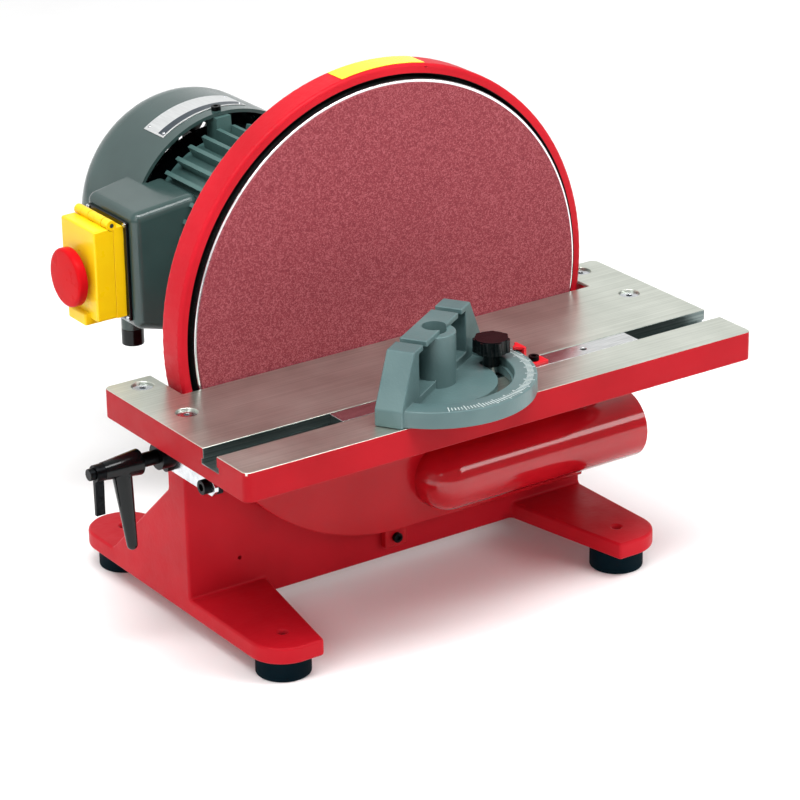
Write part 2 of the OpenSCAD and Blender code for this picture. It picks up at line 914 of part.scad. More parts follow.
module fan_cowl() {
    color("#6d8480") set_down() difference() {
        union() {
            cowl_cup(0);
            switch_box();
            translate([-gland_x, switch_y, gland_z]) cylinder(r = gland_r, h = box_edge_r + box_draft);
        }
        cowl_cup(cowl_wall);
        slab(
            [-box_face - overrun, panel_y0 + box_wall, panel_z0 + box_wall],
            [-box_floor - box_wall, panel_y1 - box_wall, panel_z1 - box_wall]
        );
        at_panel_screws() translate([0, 0, -panel_t - panel_screw_l])
            cylinder(r = m2_r + fit, h = panel_screw_l + overrun);
        for (i = [0 : grille_count - 1])
            translate([0, cowl_y1 - cowl_edge_r, axis_z]) rotate([0, i * 360 / grille_count, 0])
                slab(
                    [grille_in, 0, -grille_slot_w / 2],
                    [grille_out, cowl_edge_r + overrun, grille_slot_w / 2]
                );
        at_cowl_screws() translate([0, 0, -cowl_wall - overrun])
            cylinder(r = m4_r + fit, h = cowl_wall + 2 * overrun);
        translate([-gland_x, switch_y, gland_z - overrun])
            cylinder(r = gland_neck_r + fit, h = box_edge_r + box_draft + box_wall + 2 * overrun);
    }
}

module cowl_screws() {
    color("#303030") set_down() at_cowl_screws()
        socket_screw(m4_r, cowl_wall + cowl_screw_l - thread_end, m4_head_r, m4_head_h);
}

// A bare plate on the cowl, bent to its curve
module rating_plate() {
    y1 = label_y0 + label_w;
    color("gainsboro") set_down() intersection() {
        difference() {
            axle(cowl_r + label_t, label_y0, y1);
            axle(cowl_r + seat_gap, label_y0 - overrun, y1 + overrun);
        }
        translate([0, 0, axis_z]) across_y(label_y0, y1) polygon([
            [0, 0],
            [2 * cowl_r * cos(label_angle0), 2 * cowl_r * sin(label_angle0)],
            [2 * cowl_r * cos(label_angle1), 2 * cowl_r * sin(label_angle1)]
        ]);
    }
}

// Places of the panel's screws, heads to the left
module at_panel_screws() {
    for (y = [panel_y0 + panel_screw_inset, panel_y1 - panel_screw_inset],
         z = [panel_z0 + panel_screw_inset, panel_z1 - panel_screw_inset])
        translate([-box_face - panel_t, y, z]) rotate([0, -90, 0]) children();
}

module switch_panel() {
    color("#1c1f20") set_down() difference() {
        slab([-box_face - panel_t, panel_y0, panel_z0], [-box_face, panel_y1, panel_z1]);
        at_panel_screws() translate([0, 0, -panel_t - overrun])
            cylinder(r = m2_r + fit, h = panel_t + 2 * overrun);
        slab(
            [-box_face - panel_t - overrun, switch_y - block_w / 2 - fit, switch_z - block_h / 2 - fit],
            [-box_face + overrun, switch_y + block_w / 2 + fit, switch_z + block_h / 2 + fit]
        );
    }
}

module panel_screws() {
    color("silver") set_down() at_panel_screws()
        socket_screw(m2_r, panel_t + panel_screw_l - thread_end, m2_head_r, m2_head_h);
}

// Hinge knuckles of the switch: the even ones belong to the frame, the odd ones to the flap
module hinge_knuckles(first, grow) {
    step = switch_w / knuckle_count;
    for (i = [first : 2 : knuckle_count - 1])
        translate([-hinge_x, switch_y - switch_w / 2 + i * step + clear / 2 - grow, hinge_z])
            rod_y(hinge_r + grow, step - clear + 2 * grow);
}

module hinge_bore() {
    translate([-hinge_x, switch_y - switch_w / 2 - overrun, hinge_z])
        rod_y(hinge_pin_r + seat_gap, switch_w + 2 * overrun);
}

module switch_frame() {
    y0 = switch_y - switch_w / 2;
    y1 = switch_y + switch_w / 2;
    z0 = switch_z - switch_h / 2;
    z1 = switch_z + switch_h / 2;
    color("gold") set_down() difference() {
        union() {
            slab([-frame_x1, y0, z0], [-box_face - panel_t, y1, z1]);
            hinge_knuckles(0, 0);
        }
        slab(
            [-frame_x1 + frame_wall, y0 + frame_wall, z0 + frame_wall],
            [-box_face, y1 - frame_wall, z1 - frame_wall]
        );
        for (z = [start_z, stop_z])
            translate([-frame_x1 - overrun, switch_y, z])
                rod_x(push_r + button_gap, frame_wall + 2 * overrun);
        hinge_bore();
        hinge_knuckles(1, clear);
    }
}

module hinge_pin() {
    color("silver") set_down()
        translate([-hinge_x, switch_y - switch_w / 2, hinge_z]) rod_y(hinge_pin_r, switch_w);
}

// The contact block behind the panel, with a bore for each push button's stem
module contact_block() {
    color("#8d8f8c") set_down() difference() {
        slab(
            [-box_face - panel_t, switch_y - block_w / 2, switch_z - block_h / 2],
            [-box_face + block_l, switch_y + block_w / 2, switch_z + block_h / 2]
        );
        for (z = [start_z, stop_z])
            translate([-box_face - panel_t - overrun, switch_y, z])
                rod_x(push_stem_r + button_gap, push_l + overrun);
    }
}

module cable_gland() {
    color("#1c1f20") set_down() translate([-gland_x, switch_y, gland_z]) difference() {
        union() {
            translate([0, 0, -gland_l]) cylinder(r = gland_r, h = gland_l);
            cylinder(r = gland_neck_r, h = gland_neck_l);
        }
        translate([0, 0, -gland_l - overrun])
            cylinder(r = gland_bore_r, h = gland_l + gland_neck_l + 2 * overrun);
    }
}

// A trunnion seat on the right: it follows the arc of the trunnion and carries its guide pins
module seat() {
    difference() {
        across_x(seat_x0, seat_x1) polygon([
            [seat_y0, seat_z0],
            [plate_y1, seat_z0],
            [plate_y1, tilt_z - web_slot_r + seat_rise],
            [tilt_y + web_slot_r * sin(pin_angles[1]), tilt_z - web_slot_r * cos(pin_angles[1]) + seat_rise],
            [tilt_y - bar_front_inset, tilt_z - web_slot_r],
            [seat_y0, bar_z + bar_h / 2]
        ]);
        at_pins() translate([-overrun, 0, 0]) rod_x(pin_r + fit, seat_t + web_t);
        translate([seat_x0 - overrun, stud_y, stud_z]) rod_x(stud_r + fit, seat_t + 2 * overrun);
        for (y = [bar_screw_y0, bar_screw_y1])
            translate([seat_x0 - overrun, y, bar_z]) rod_x(m6_r + fit, seat_t + 2 * overrun);
    }
}

module at_pins() {
    for (a = pin_angles)
        translate([seat_x0, tilt_y + web_slot_r * sin(a), tilt_z - web_slot_r * cos(a)]) children();
}

module seat_left() {
    color("#2a2c2d") set_down() mirror([1, 0, 0]) seat();
}

module seat_right() {
    color("#2a2c2d") set_down() seat();
}

// A zinc-plated bar on the right; its front corners clear the tilted table
module bar() {
    difference() {
        across_x(seat_x1, bar_x1) polygon([
            [bar_y0, bar_z - bar_h / 2 + bar_chamfer],
            [bar_y0 + bar_chamfer, bar_z - bar_h / 2],
            [bar_y1, bar_z - bar_h / 2],
            [bar_y1, bar_z + bar_h / 2],
            [bar_y0 + bar_chamfer, bar_z + bar_h / 2],
            [bar_y0, bar_z + bar_h / 2 - bar_chamfer]
        ]);
        for (y = [bar_screw_y0, bar_screw_y1])
            translate([seat_x1 - overrun, y, bar_z]) rod_x(m6_r + fit, bar_t + 2 * overrun);
    }
}

module bar_left() {
    color("lightsteelblue") set_down() mirror([1, 0, 0]) bar();
}

module bar_right() {
    color("lightsteelblue") set_down() bar();
}

module bar_screws() {
    color("#202020") set_down() at_bar_screws()
        socket_screw(m6_r, bar_t + seat_t, m6_head_r, m6_head_h);
}

module guide_pins() {
    color("silver") set_down() both_sides() at_pins() rod_x(pin_r, seat_t + web_t);
}

// The fixed clamp on the right: a bolt through the seat whose flange grips the trunnion's rim
module clamp_bolt_right() {
    color("#303030") set_down() {
        translate([seat_x0, stud_y, stud_z]) rod_x(stud_r, clamp_x0 - seat_x0);
        translate([clamp_x0, stud_y, stud_z]) rod_x(clamp_r, clamp_l / 2);
        translate([clamp_x0 + clamp_l / 2, stud_y, stud_z]) rotate([0, 90, 0])
            cylinder(r = nut_r, h = nut_h, $fn = 6);
    }
}

module motor_shaft() {
    color("silver") set_down() {
        axle(shaft_r, shaft_y0, front_bearing_y - bearing_lip);
        axle(front_race_r - seat_gap, front_bearing_y - bearing_lip, front_bearing_y + bearing_w + clear);
        axle(rotor_shaft_r, front_bearing_y + bearing_w + clear, rear_bearing_y - clear);
        axle(rear_race_r - seat_gap, rear_bearing_y - clear, shaft_y1);
    }
}

module rotor_core() {
    color("#77787c") set_down() difference() {
        axle(rotor_r, core_y0, core_y1);
        axle(rotor_shaft_r + seat_gap, core_y0 - overrun, core_y1 + overrun);
    }
}

module cooling_fan() {
    color("#202020") set_down() difference() {
        union() {
            axle(fan_hub_r, fan_y0, fan_y0 + fan_l);
            axle(fan_r, fan_y0, fan_y0 + fan_disc_t);
            for (i = [0 : blade_count - 1])
                translate([0, fan_y0, axis_z]) rotate([0, i * 360 / blade_count, 0])
                    slab(
                        [fan_hub_r / 2, fan_disc_t / 2, -blade_t / 2],
                        [fan_r - blade_inset, fan_l - blade_inset, blade_t / 2]
                    );
        }
        axle(rear_race_r, fan_y0 - overrun, fan_y0 + fan_l + overrun);
    }
}

module disc_plate() {
    color("gainsboro") set_down() difference() {
        union() {
            axle(disc_r, disc_y0, disc_y1);
            axle(hub_r, disc_y1, hub_y1);
        }
        axle(shaft_r + seat_gap, shaft_y0, hub_y1 + overrun);
        at_disc_screws() translate([0, 0, -shaft_r / 2]) cylinder(r = m6_r + fit, h = hub_r);
    }
}

// Two grub screws clamp the hub on the shaft
module at_disc_screws() {
    for (a = [0, 90])
        translate([0, disc_y1 + hub_l / 2, axis_z]) rotate([0, a, 0])
            translate([0, 0, shaft_r + seat_gap]) children();
}

module disc_screws() {
    color("#303030") set_down() at_disc_screws() difference() {
        cylinder(r = m6_r, h = hub_r - shaft_r - thread_end);
        translate([0, 0, (hub_r - shaft_r) / 2]) cylinder(r = m6_r * socket_share, h = hub_r, $fn = 6);
    }
}

module abrasive_disc() {
    color("#8c3c46") set_down() axle(abrasive_r, 0, abrasive_t);
}

module work_table() {
    y0 = -table_front;
    y1 = table_ear;
    color("silver") set_down() difference() {
        translate([0, 0, table_z0]) linear_extrude(table_h)
            round_rect([-table_hx, y0], [table_hx, y1], table_corner_r);
        translate([0, 0, table_z0 - overrun]) linear_extrude(table_h - table_plate_t + overrun) difference() {
            round_rect(
                [-table_hx + skirt_t, y0 + skirt_t],
                [table_hx - skirt_t, y1 - skirt_t],
                table_pocket_r
            );
            translate([-table_hx, -slot_y - slot_rib_w / 2]) square([table_l, slot_rib_w]);
        }
        slab(
            [-table_hx + skirt_t, -slot_y - slot_rib_w, table_z0 - overrun],
            [table_hx - skirt_t, -slot_y + slot_rib_w, slot_z0 - slot_rib_wall]
        );
        slab([-notch_hx, -table_gap, table_z0 - overrun], [notch_hx, y1 + overrun, table_z1 + overrun]);
        across_x(-notch_hx, notch_hx) polygon([
            [-table_gap + overrun, table_z1 - edge_land],
            [-table_gap, table_z1 - edge_land],
            [-table_gap - table_h, table_z1 - edge_land - table_h],
            [-table_gap + overrun, table_z1 - edge_land - table_h]
        ]);
        slab(
            [-table_hx - overrun, -slot_y - slot_w / 2, table_z1 - slot_d],
            [table_hx + overrun, -slot_y + slot_w / 2, table_z1 + overrun]
        );
        slab(
            [-table_hx - overrun, -slot_y - slot_under_w / 2, slot_z0],
            [table_hx + overrun, -slot_y + slot_under_w / 2, table_z1 - slot_d]
        );
        at_table_screws() {
            translate([0, 0, plate_z0 - overrun])
                cylinder(r = m8_r + fit, h = table_plate_t + 2 * overrun);
            translate([0, 0, table_z1 - head_sink - m8_head_r + m8_r - fit])
                cylinder(r1 = m8_r + fit, r2 = m8_head_r + 2 * fit, h = m8_head_r - m8_r + fit);
            translate([0, 0, table_z1 - head_sink - fit])
                cylinder(r = m8_head_r + 2 * fit, h = head_sink + fit + overrun);
        }
        both_sides() slab(
            [notch_hx - overrun, tilt_y - web_r - clear, table_z0 - overrun],
            [web_x1 + clear, y1 - skirt_t, plate_z0]
        );
    }
}

// A trunnion on the right: a flange under the table's ear and a half-round web with a curved slot
module trunnion() {
    front_y = tilt_y - web_r;
    rear_y = table_ear - skirt_t - clear;
    front_end = pin_angles[0] - tilt_max - slot_end_angle;
    rear_end = pin_angles[1] + slot_end_angle;
    difference() {
        union() {
            slab([web_x0, front_y, plate_z0 - flange_t], [flange_x1, rear_y, plate_z0]);
            intersection() {
                across_x(web_x0, web_x1) translate([tilt_y, tilt_z]) circle(web_r);
                slab([web_x0, front_y, tilt_z - 2 * web_r], [web_x1, rear_y, plate_z0]);
            }
        }
        across_x(web_x0 - overrun, web_x1 + overrun) translate([tilt_y, tilt_z]) intersection() {
            difference() {
                circle(web_slot_r + web_slot_w / 2);
                circle(web_slot_r - web_slot_w / 2);
            }
            polygon([
                [0, 0],
                [2 * web_r * sin(front_end), -2 * web_r * cos(front_end)],
                [0, -2 * web_r],
                [2 * web_r * sin(rear_end), -2 * web_r * cos(rear_end)]
            ]);
        }
        at_table_screws() translate([0, 0, plate_z0 - flange_t - overrun])
            cylinder(r = m8_r + fit, h = flange_t + 2 * overrun);
    }
}

module trunnion_left() {
    color("#2a2c2d") set_down() mirror([1, 0, 0]) trunnion();
}

module trunnion_right() {
    color("#2a2c2d") set_down() trunnion();
}

module table_screws() {
    color("silver") set_down() at_table_screws() translate([0, 0, table_z1 - head_sink])
        sunk_screw(m8_r, table_plate_t + flange_t - head_sink, m8_head_r);
}

// Pieces on the left clamp axis are drawn outwards along +x and mirrored
module on_lever_axis(x) {
    mirror([1, 0, 0]) translate([x, stud_y, stud_z]) children();
}

module lever_stud() {
    color("#202020") set_down() {
        on_lever_axis(seat_x0 + clear) rod_x(stud_r, lever_x0 - seat_x0 - clear);
        on_lever_axis(clamp_x0) rod_x(clamp_r, clamp_l);
        on_lever_axis(clamp_x0 + clamp_l) rod_x(spacer_r, lever_x0 - clamp_x0 - clamp_l);
    }
}

module lever_handle() {
    color("#161819") set_down() difference() {
        union() {
            on_lever_axis(lever_x0) rotate([0, 90, 0])
                cylinder(r1 = lever_hub_r0, r2 = lever_hub_r1, h = lever_hub_l);
            on_lever_axis(lever_arm_x) rotate([180 - lever_lean, 0, 0]) {
                cylinder(r1 = lever_root_r, r2 = lever_tip_r, h = lever_l - lever_tip_r);
                translate([0, 0, lever_l - lever_tip_r]) sphere(lever_tip_r);
            }
        }
        on_lever_axis(lever_x1 - button_travel - button_l)
            rod_x(button_r + seat_gap, button_travel + button_l + overrun);
    }
}

module lever_tab() {
    color("#161819") set_down() on_lever_axis(lever_x1) difference() {
        union() {
            rod_x(tab_ring_r, tab_w);
            slab([0, -tab_t / 2, -tab_l - tab_ring_r], [tab_w, tab_t / 2, 0]);
        }
        translate([-overrun, 0, 0]) rod_x(button_r + seat_gap, tab_w + 2 * overrun);
    }
}

module lever_button() {
    color("#26282a") set_down() on_lever_axis(lever_x1 - button_l) rod_x(button_r, 2 * button_l);
}

module guide_bar() {
    color("silver") set_down() difference() {
        union() {
            slab(
                [guide_x0, -slot_y - slot_w / 2 + slide_gap, guide_z0],
                [guide_x1, -slot_y + slot_w / 2 - slide_gap, guide_z1]
            );
            slab(
                [guide_x0, -slot_y - slot_under_w / 2 + slide_gap, guide_z0],
                [guide_x1, -slot_y + slot_under_w / 2 - slide_gap, guide_z0 + guide_foot_h]
            );
        }
        guide_hole(gauge_x, pivot_r + fit, pivot_depth);
        guide_hole(knob_x, knob_stud_r + fit, pivot_depth);
        guide_hole(pointer_screw_x, m4_r + fit, pointer_screw_l);
        guide_hole(guide_hole_x, guide_hole_r, pivot_depth);
    }
}

module guide_hole(x, r, depth) {
    translate([x, -slot_y, guide_z1 - depth]) cylinder(r = r, h = depth + overrun);
}

// A stepped pointer that stands on the bar and reaches over the protractor's rim
module scale_pointer() {
    y0 = -slot_y - pointer_w / 2;
    y1 = -slot_y + pointer_w / 2;
    color("crimson") set_down() difference() {
        union() {
            slab([pointer_x0, y0, guide_z1], [pointer_x1, y1, guide_z1 + pointer_t]);
            slab([pointer_x0, y0, guide_z1], [pointer_x0 + pointer_t, y1, pointer_z0 + pointer_t]);
            translate([0, 0, pointer_z0]) linear_extrude(pointer_t) polygon([
                [pointer_x0 + pointer_t, y0],
                [pointer_x0 + pointer_t, y1],
                [pointer_x0 - pointer_gap - pointer_tip, -slot_y]
            ]);
        }
        translate([pointer_screw_x, -slot_y, guide_z1 - overrun])
            cylinder(r = m4_r + fit, h = pointer_t + 2 * overrun);
    }
}

module pointer_screw() {
    color("#202020") set_down() translate([pointer_screw_x, -slot_y, guide_z1 + pointer_t])
        socket_screw(m4_r, pointer_screw_l, m4_head_r, m4_head_h);
}

module pivot_screw() {
    color("#303030") set_down()
        translate([gauge_x, -slot_y, gauge_z0 + gauge_web_t + fit])
            socket_screw(pivot_r, gauge_web_t + pivot_depth, pivot_head_r, pivot_head_h);
}

module knob_stud() {
    z0 = guide_z1 - pivot_depth;
    color("silver") set_down()
        translate([knob_x, -slot_y, z0]) cylinder(r = knob_stud_r, h = knob_z0 + knob_h / 2 - z0);
}

// The gauge head, drawn with u along x and v along y, then turned to its shown angle
module mitre_head() {
    ring_in = gauge_r - gauge_ring_w;
    color("#7d9a98") set_down()
    translate([gauge_x, -slot_y, gauge_z0]) rotate(90 - gauge_angle) difference() {
        union() {
            intersection() {
                union() {
                    cylinder(r = gauge_r, h = gauge_web_t);
                    difference() {
                        cylinder(r = gauge_r, h = gauge_rim_t);
                        translate([0, 0, -overrun]) cylinder(r = ring_in, h = gauge_rim_t + 2 * overrun);
                    }
                }
                slab([-gauge_r, -gauge_r, 0], [gauge_r, fence_lead, gauge_rim_t]);
            }
            slab([-fence_foot_u, fence_lead - fence_t, 0], [fence_foot_u, fence_lead, gauge_rim_t]);
            difference() {
                across_y(fence_lead - fence_t, fence_lead) polygon([
                    [-fence_foot_u, gauge_rim_t],
                    [-fence_top_u, fence_h],
                    [fence_top_u, fence_h],
                    [fence_foot_u, gauge_rim_t],
                    [fence_foot_u, 0],
                    [-fence_foot_u, 0]
                ]);
                slab(
                    [-fence_top_u + fence_wall, fence_lead - fence_t - overrun, gauge_rim_t],
                    [fence_top_u - fence_wall, fence_lead - fence_wall, fence_h - fence_wall / 2]
                );
            }
            cylinder(r = boss_r, h = boss_h);
        }
        translate([0, 0, gauge_web_t]) cylinder(r = boss_bore_r, h = fence_h);
        translate([0, 0, -overrun]) cylinder(r = pivot_r + seat_gap, h = fence_h);
        for (u = [-fence_slot_u, fence_slot_u]) {
            slab(
                [u - fence_slot_w / 2, fence_lead - fence_t - overrun, fence_h - fence_slot_h],
                [u + fence_slot_w / 2, fence_lead + overrun, fence_h + overrun]
            );
            translate([u, fence_lead - fence_t - overrun, fence_h - fence_slot_h])
                rod_y(fence_slot_w / 2, fence_t + 2 * overrun);
        }
        translate([0, 0, -overrun]) linear_extrude(gauge_rim_t + 2 * overrun) curved_slot();
    }
}

// The protractor's curved slot with its round ends
module curved_slot() {
    far = 2 * gauge_r;
    intersection() {
        difference() {
            circle(gauge_slot_r + gauge_slot_w / 2);
            circle(gauge_slot_r - gauge_slot_w / 2);
        }
        polygon([
            [0, 0],
            [-far * sin(gauge_slot_angle), -far * cos(gauge_slot_angle)],
            [0, -far],
            [far * sin(gauge_slot_angle), -far * cos(gauge_slot_angle)]
        ]);
    }
    for (s = [-1, 1])
        translate([s * gauge_slot_r * sin(gauge_slot_angle), -gauge_slot_r * cos(gauge_slot_angle)])
            circle(gauge_slot_w / 2);
}

module star_knob() {
    neck_z = gauge_z0 + gauge_web_t + clear;
    color("#161819") set_down() translate([knob_x, -slot_y, 0]) difference() {
        union() {
            translate([0, 0, neck_z]) cylinder(r = knob_neck_r, h = knob_z0 - neck_z + knob_h / 2);
            translate([0, 0, knob_z0]) cylinder(r = knob_r - knob_lobe_r / 2, h = knob_h);
            for (i = [0 : knob_lobes - 1])
                rotate(i * 360 / knob_lobes) translate([knob_r - knob_lobe_r, 0, knob_z0 + lobe_step])
                    cylinder(r = knob_lobe_r, h = knob_h - 2 * lobe_step);
        }
        translate([0, 0, neck_z - overrun])
            cylinder(r = knob_stud_r + seat_gap, h = knob_z0 - neck_z + knob_h / 2 + overrun);
    }
}

module switch_flap() {
    y0 = switch_y - switch_w / 2;
    y1 = switch_y + switch_w / 2;
    z0 = switch_z - switch_h / 2;
    z1 = switch_z + switch_h / 2;
    color("gold") set_down() difference() {
        union() {
            slab([-flap_x1, y0, z0], [-flap_x0, y1, z1]);
            hinge_knuckles(1, 0);
            slab(
                [-flap_x1 - latch_t, switch_y - latch_w / 2, z0 - latch_drop],
                [-flap_x0 - latch_t, switch_y + latch_w / 2, z0 + latch_t]
            );
        }
        slab(
            [-flap_x1 + flap_wall, y0 + flap_wall, z0 + flap_wall],
            [-flap_x0 + overrun, y1 - flap_wall, z1 - flap_wall - hinge_r]
        );
        translate([-flap_x1 - overrun, switch_y, stop_z])
            rod_x(push_stem_r + pin_gap, flap_wall + 2 * overrun);
        hinge_bore();
        hinge_knuckles(0, clear);
    }
}

// The red stop head: a broad cap, its skirt and tongue, and a rod that meets the stop button
module stop_mushroom() {
    rod_end = frame_x1 + push_proud + button_gap;
    color("crimson") set_down() translate([0, switch_y, stop_z]) {
        translate([-mushroom_x0 - mushroom_t + mushroom_round, 0, 0])
            rod_x(mushroom_d / 2, mushroom_t - mushroom_round);
        translate([-mushroom_x0 - mushroom_t, 0, 0]) rotate([0, 90, 0])
            cylinder(r1 = mushroom_d / 2 - mushroom_round, r2 = mushroom_d / 2, h = mushroom_round);
        translate([-mushroom_x0, 0, 0]) rod_x(mushroom_stem_r, mushroom_gap - push_travel - clear);
        translate([-mushroom_x0, 0, 0]) rod_x(push_stem_r, mushroom_x0 - rod_end);
    }
}

module push_button(z) {
    translate([-frame_x1 - push_proud, switch_y, z]) {
        rod_x(push_r, push_proud + frame_wall);
        rod_x(push_stem_r, push_proud + push_l);
    }
}

module start_button() {
    color("seagreen") set_down() push_button(start_z);
}

module stop_button() {
    color("crimson") set_down() push_button(stop_z);
}

base_casting();
rubber_feet();
foot_screws();
lower_guard();
guard_screws();
motor_flange();
motor_bolts();
motor_body();
stator_core();
stator_windings();
front_bearing();
rear_bearing();
rear_shield();
fan_cowl();
cowl_screws();
rating_plate();
switch_panel();
panel_screws();
switch_frame();
hinge_pin();
contact_block();
cable_gland();
seat_left();
seat_right();
bar_left();
bar_right();
bar_screws();
guide_pins();
clamp_bolt_right();
motor_shaft();
rotor_core();
cooling_fan();
disc_plate();
abrasive_disc();
disc_screws();
work_table();
trunnion_left();
trunnion_right();
table_screws();
lever_stud();
lever_handle();
lever_tab();
lever_button();
guide_bar();
scale_pointer();
pointer_screw();
pivot_screw();
knob_stud();
mitre_head();
star_knob();
switch_flap();
stop_mushroom();
start_button();
stop_button();
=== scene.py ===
# %% [markdown]
# This lesson dresses a benchtop disc sander. Blender then adds what the solids leave out: softened edges,
# finishes and small fittings.

# %% Load the frame
import json
import math
import bmesh
import bpy
from mathutils import Matrix, Vector

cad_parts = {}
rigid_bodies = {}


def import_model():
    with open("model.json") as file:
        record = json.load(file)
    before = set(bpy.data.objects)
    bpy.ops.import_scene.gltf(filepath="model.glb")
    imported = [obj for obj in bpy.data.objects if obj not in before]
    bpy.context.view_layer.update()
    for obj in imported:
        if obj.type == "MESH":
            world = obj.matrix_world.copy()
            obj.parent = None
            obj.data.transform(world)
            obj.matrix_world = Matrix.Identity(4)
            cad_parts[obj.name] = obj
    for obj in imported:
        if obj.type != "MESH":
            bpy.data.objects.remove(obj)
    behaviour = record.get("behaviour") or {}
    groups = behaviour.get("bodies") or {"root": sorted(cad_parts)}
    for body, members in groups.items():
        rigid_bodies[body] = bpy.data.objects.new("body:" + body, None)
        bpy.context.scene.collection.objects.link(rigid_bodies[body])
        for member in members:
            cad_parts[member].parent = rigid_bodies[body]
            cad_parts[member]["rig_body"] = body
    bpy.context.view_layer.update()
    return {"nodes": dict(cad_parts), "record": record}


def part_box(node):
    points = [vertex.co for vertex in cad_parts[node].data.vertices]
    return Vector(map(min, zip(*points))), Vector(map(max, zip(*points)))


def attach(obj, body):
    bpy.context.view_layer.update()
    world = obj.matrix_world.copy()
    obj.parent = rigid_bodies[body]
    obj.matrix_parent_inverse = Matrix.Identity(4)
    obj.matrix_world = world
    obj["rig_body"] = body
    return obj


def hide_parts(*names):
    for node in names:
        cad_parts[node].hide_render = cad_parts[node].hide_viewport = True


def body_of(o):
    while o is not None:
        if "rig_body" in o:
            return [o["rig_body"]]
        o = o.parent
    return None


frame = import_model()

# %% [markdown]
# Most places on the machine are easiest to give from the spindle: x to the right of it, y behind the face
# of the abrasive, z above the bench, all in millimetres. One helper turns such a place into the frame's
# metres, so the rest of the file can speak in workshop sizes.

# %% Places measured from the spindle
abrasive_low, abrasive_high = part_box("abrasive_disc")
spindle = Vector((
    (abrasive_low.x + abrasive_high.x) / 2,
    abrasive_low.y,
    (abrasive_low.z + abrasive_high.z) / 2,
))


def place(x, y, z):
    return Vector((spindle.x + x / 1000, spindle.y + y / 1000, z / 1000))


print("spindle in mm:", [round(1000 * side, 2) for side in spindle])

# %% [markdown]
# The camera stands to the left and a little above the machine, far back with a long lens, as in a
# catalogue picture. Its direction is written as two angles and a small roll, and its matrix is built from
# the three axes that these give, because that keeps the roll exact where a tracking constraint would
# level it.

# %% Camera
camera_turn = math.radians(-34.24)
camera_rise = math.radians(22.62)
camera_roll = math.radians(-0.85)
camera_distance = 2.258
focal_length_in_image_widths = 4.185

camera_aim = place(5.4, 0, 131.8)
camera_back = Vector((
    math.sin(camera_turn) * math.cos(camera_rise),
    -math.cos(camera_turn) * math.cos(camera_rise),
    math.sin(camera_rise),
))
level_right = Vector((math.cos(camera_turn), math.sin(camera_turn), 0))
level_up = camera_back.cross(level_right)
camera_right = level_right * math.cos(camera_roll) + level_up * math.sin(camera_roll)
camera_up = level_up * math.cos(camera_roll) - level_right * math.sin(camera_roll)

camera_data = bpy.data.cameras.new("catalogue_camera")
camera_data.sensor_width = 36
camera_data.lens = focal_length_in_image_widths * camera_data.sensor_width
camera_data.clip_end = 50
camera = bpy.data.objects.new("catalogue_camera", camera_data)
bpy.context.scene.collection.objects.link(camera)
camera_axes = Matrix((camera_right, camera_up, camera_back)).transposed()
camera.matrix_world = Matrix.Translation(camera_aim + camera_distance * camera_back) @ camera_axes.to_4x4()
bpy.context.scene.camera = camera
print("camera at", [round(side, 3) for side in camera.location], "lens", round(camera_data.lens, 1))

# %% [markdown]
# A catalogue picture is lit by large soft boxes against white. An area light is aimed by turning its own
# minus Z axis to the machine. The world is a room that is white behind the machine and dim in front of
# it: the white end shows in the ground table, and the dim end keeps the paint that faces the camera deep
# in colour. The boxes give the form: a large one on the left, a long one overhead, and a low, narrow one
# in front on the right, which the round spout mirrors as a streak.

# %% Soft studio light
scene = bpy.context.scene
scene.view_settings.view_transform = "Standard"
scene.view_settings.look = "None"

room = bpy.data.worlds.new("white_room")
room.use_nodes = True
room_nodes = room.node_tree.nodes
direction = room_nodes.new("ShaderNodeTexCoord")
direction_parts = room_nodes.new("ShaderNodeSeparateXYZ")
depth_of_room = room_nodes.new("ShaderNodeMapRange")
depth_of_room.inputs["From Min"].default_value = -0.7
depth_of_room.inputs["From Max"].default_value = 0.7
depth_of_room.inputs["To Min"].default_value = 0.22
depth_of_room.inputs["To Max"].default_value = 1.0
room.node_tree.links.new(direction.outputs["Generated"], direction_parts.inputs["Vector"])
room.node_tree.links.new(direction_parts.outputs["Y"], depth_of_room.inputs["Value"])
room.node_tree.links.new(depth_of_room.outputs["Result"], room_nodes["Background"].inputs["Strength"])
room_nodes["Background"].inputs["Color"].default_value = (1, 1, 1, 1)
scene.world = room

lit_point = place(0, 0, 150)


def soft_box(name, where, width, height, power):
    light = bpy.data.lights.new(name, "AREA")
    light.shape = "RECTANGLE"
    light.size = width
    light.size_y = height
    light.energy = power
    lamp = bpy.data.objects.new(name, light)
    scene.collection.objects.link(lamp)
    facing = (lit_point - where).to_track_quat("-Z", "Y")
    lamp.matrix_world = Matrix.Translation(where) @ facing.to_matrix().to_4x4()


soft_box("front_box", place(1150, -1500, 980), 1.2, 0.42, 9)
soft_box("left_box", place(-1700, -900, 1300), 1.1, 1.1, 8)
soft_box("overhead_box", place(-250, -650, 1900), 2.4, 0.5, 56)

# %% [markdown]
# Finishes are built from nodes. Every pattern reads Object coordinates in metres, so a scale of 1000
# means grains of a millimetre. A noise seldom leaves 0.3 to 0.7, so a range is spread over that stretch.
# Colours are written as they look on a screen, from 0 to 255, and turned into the linear light that a
# shader works in.

# %% Helpers for finishes
noise_low = 0.3
noise_high = 0.7


def linear(red, green, blue):
    parts = [channel / 255 for channel in (red, green, blue)]
    return tuple(p / 12.92 if p <= 0.04045 else ((p + 0.055) / 1.055) ** 2.4 for p in parts) + (1,)


def new_finish(name):
    finish = bpy.data.materials.new(name)
    finish.use_nodes = True
    return finish, finish.node_tree, finish.node_tree.nodes["Principled BSDF"]


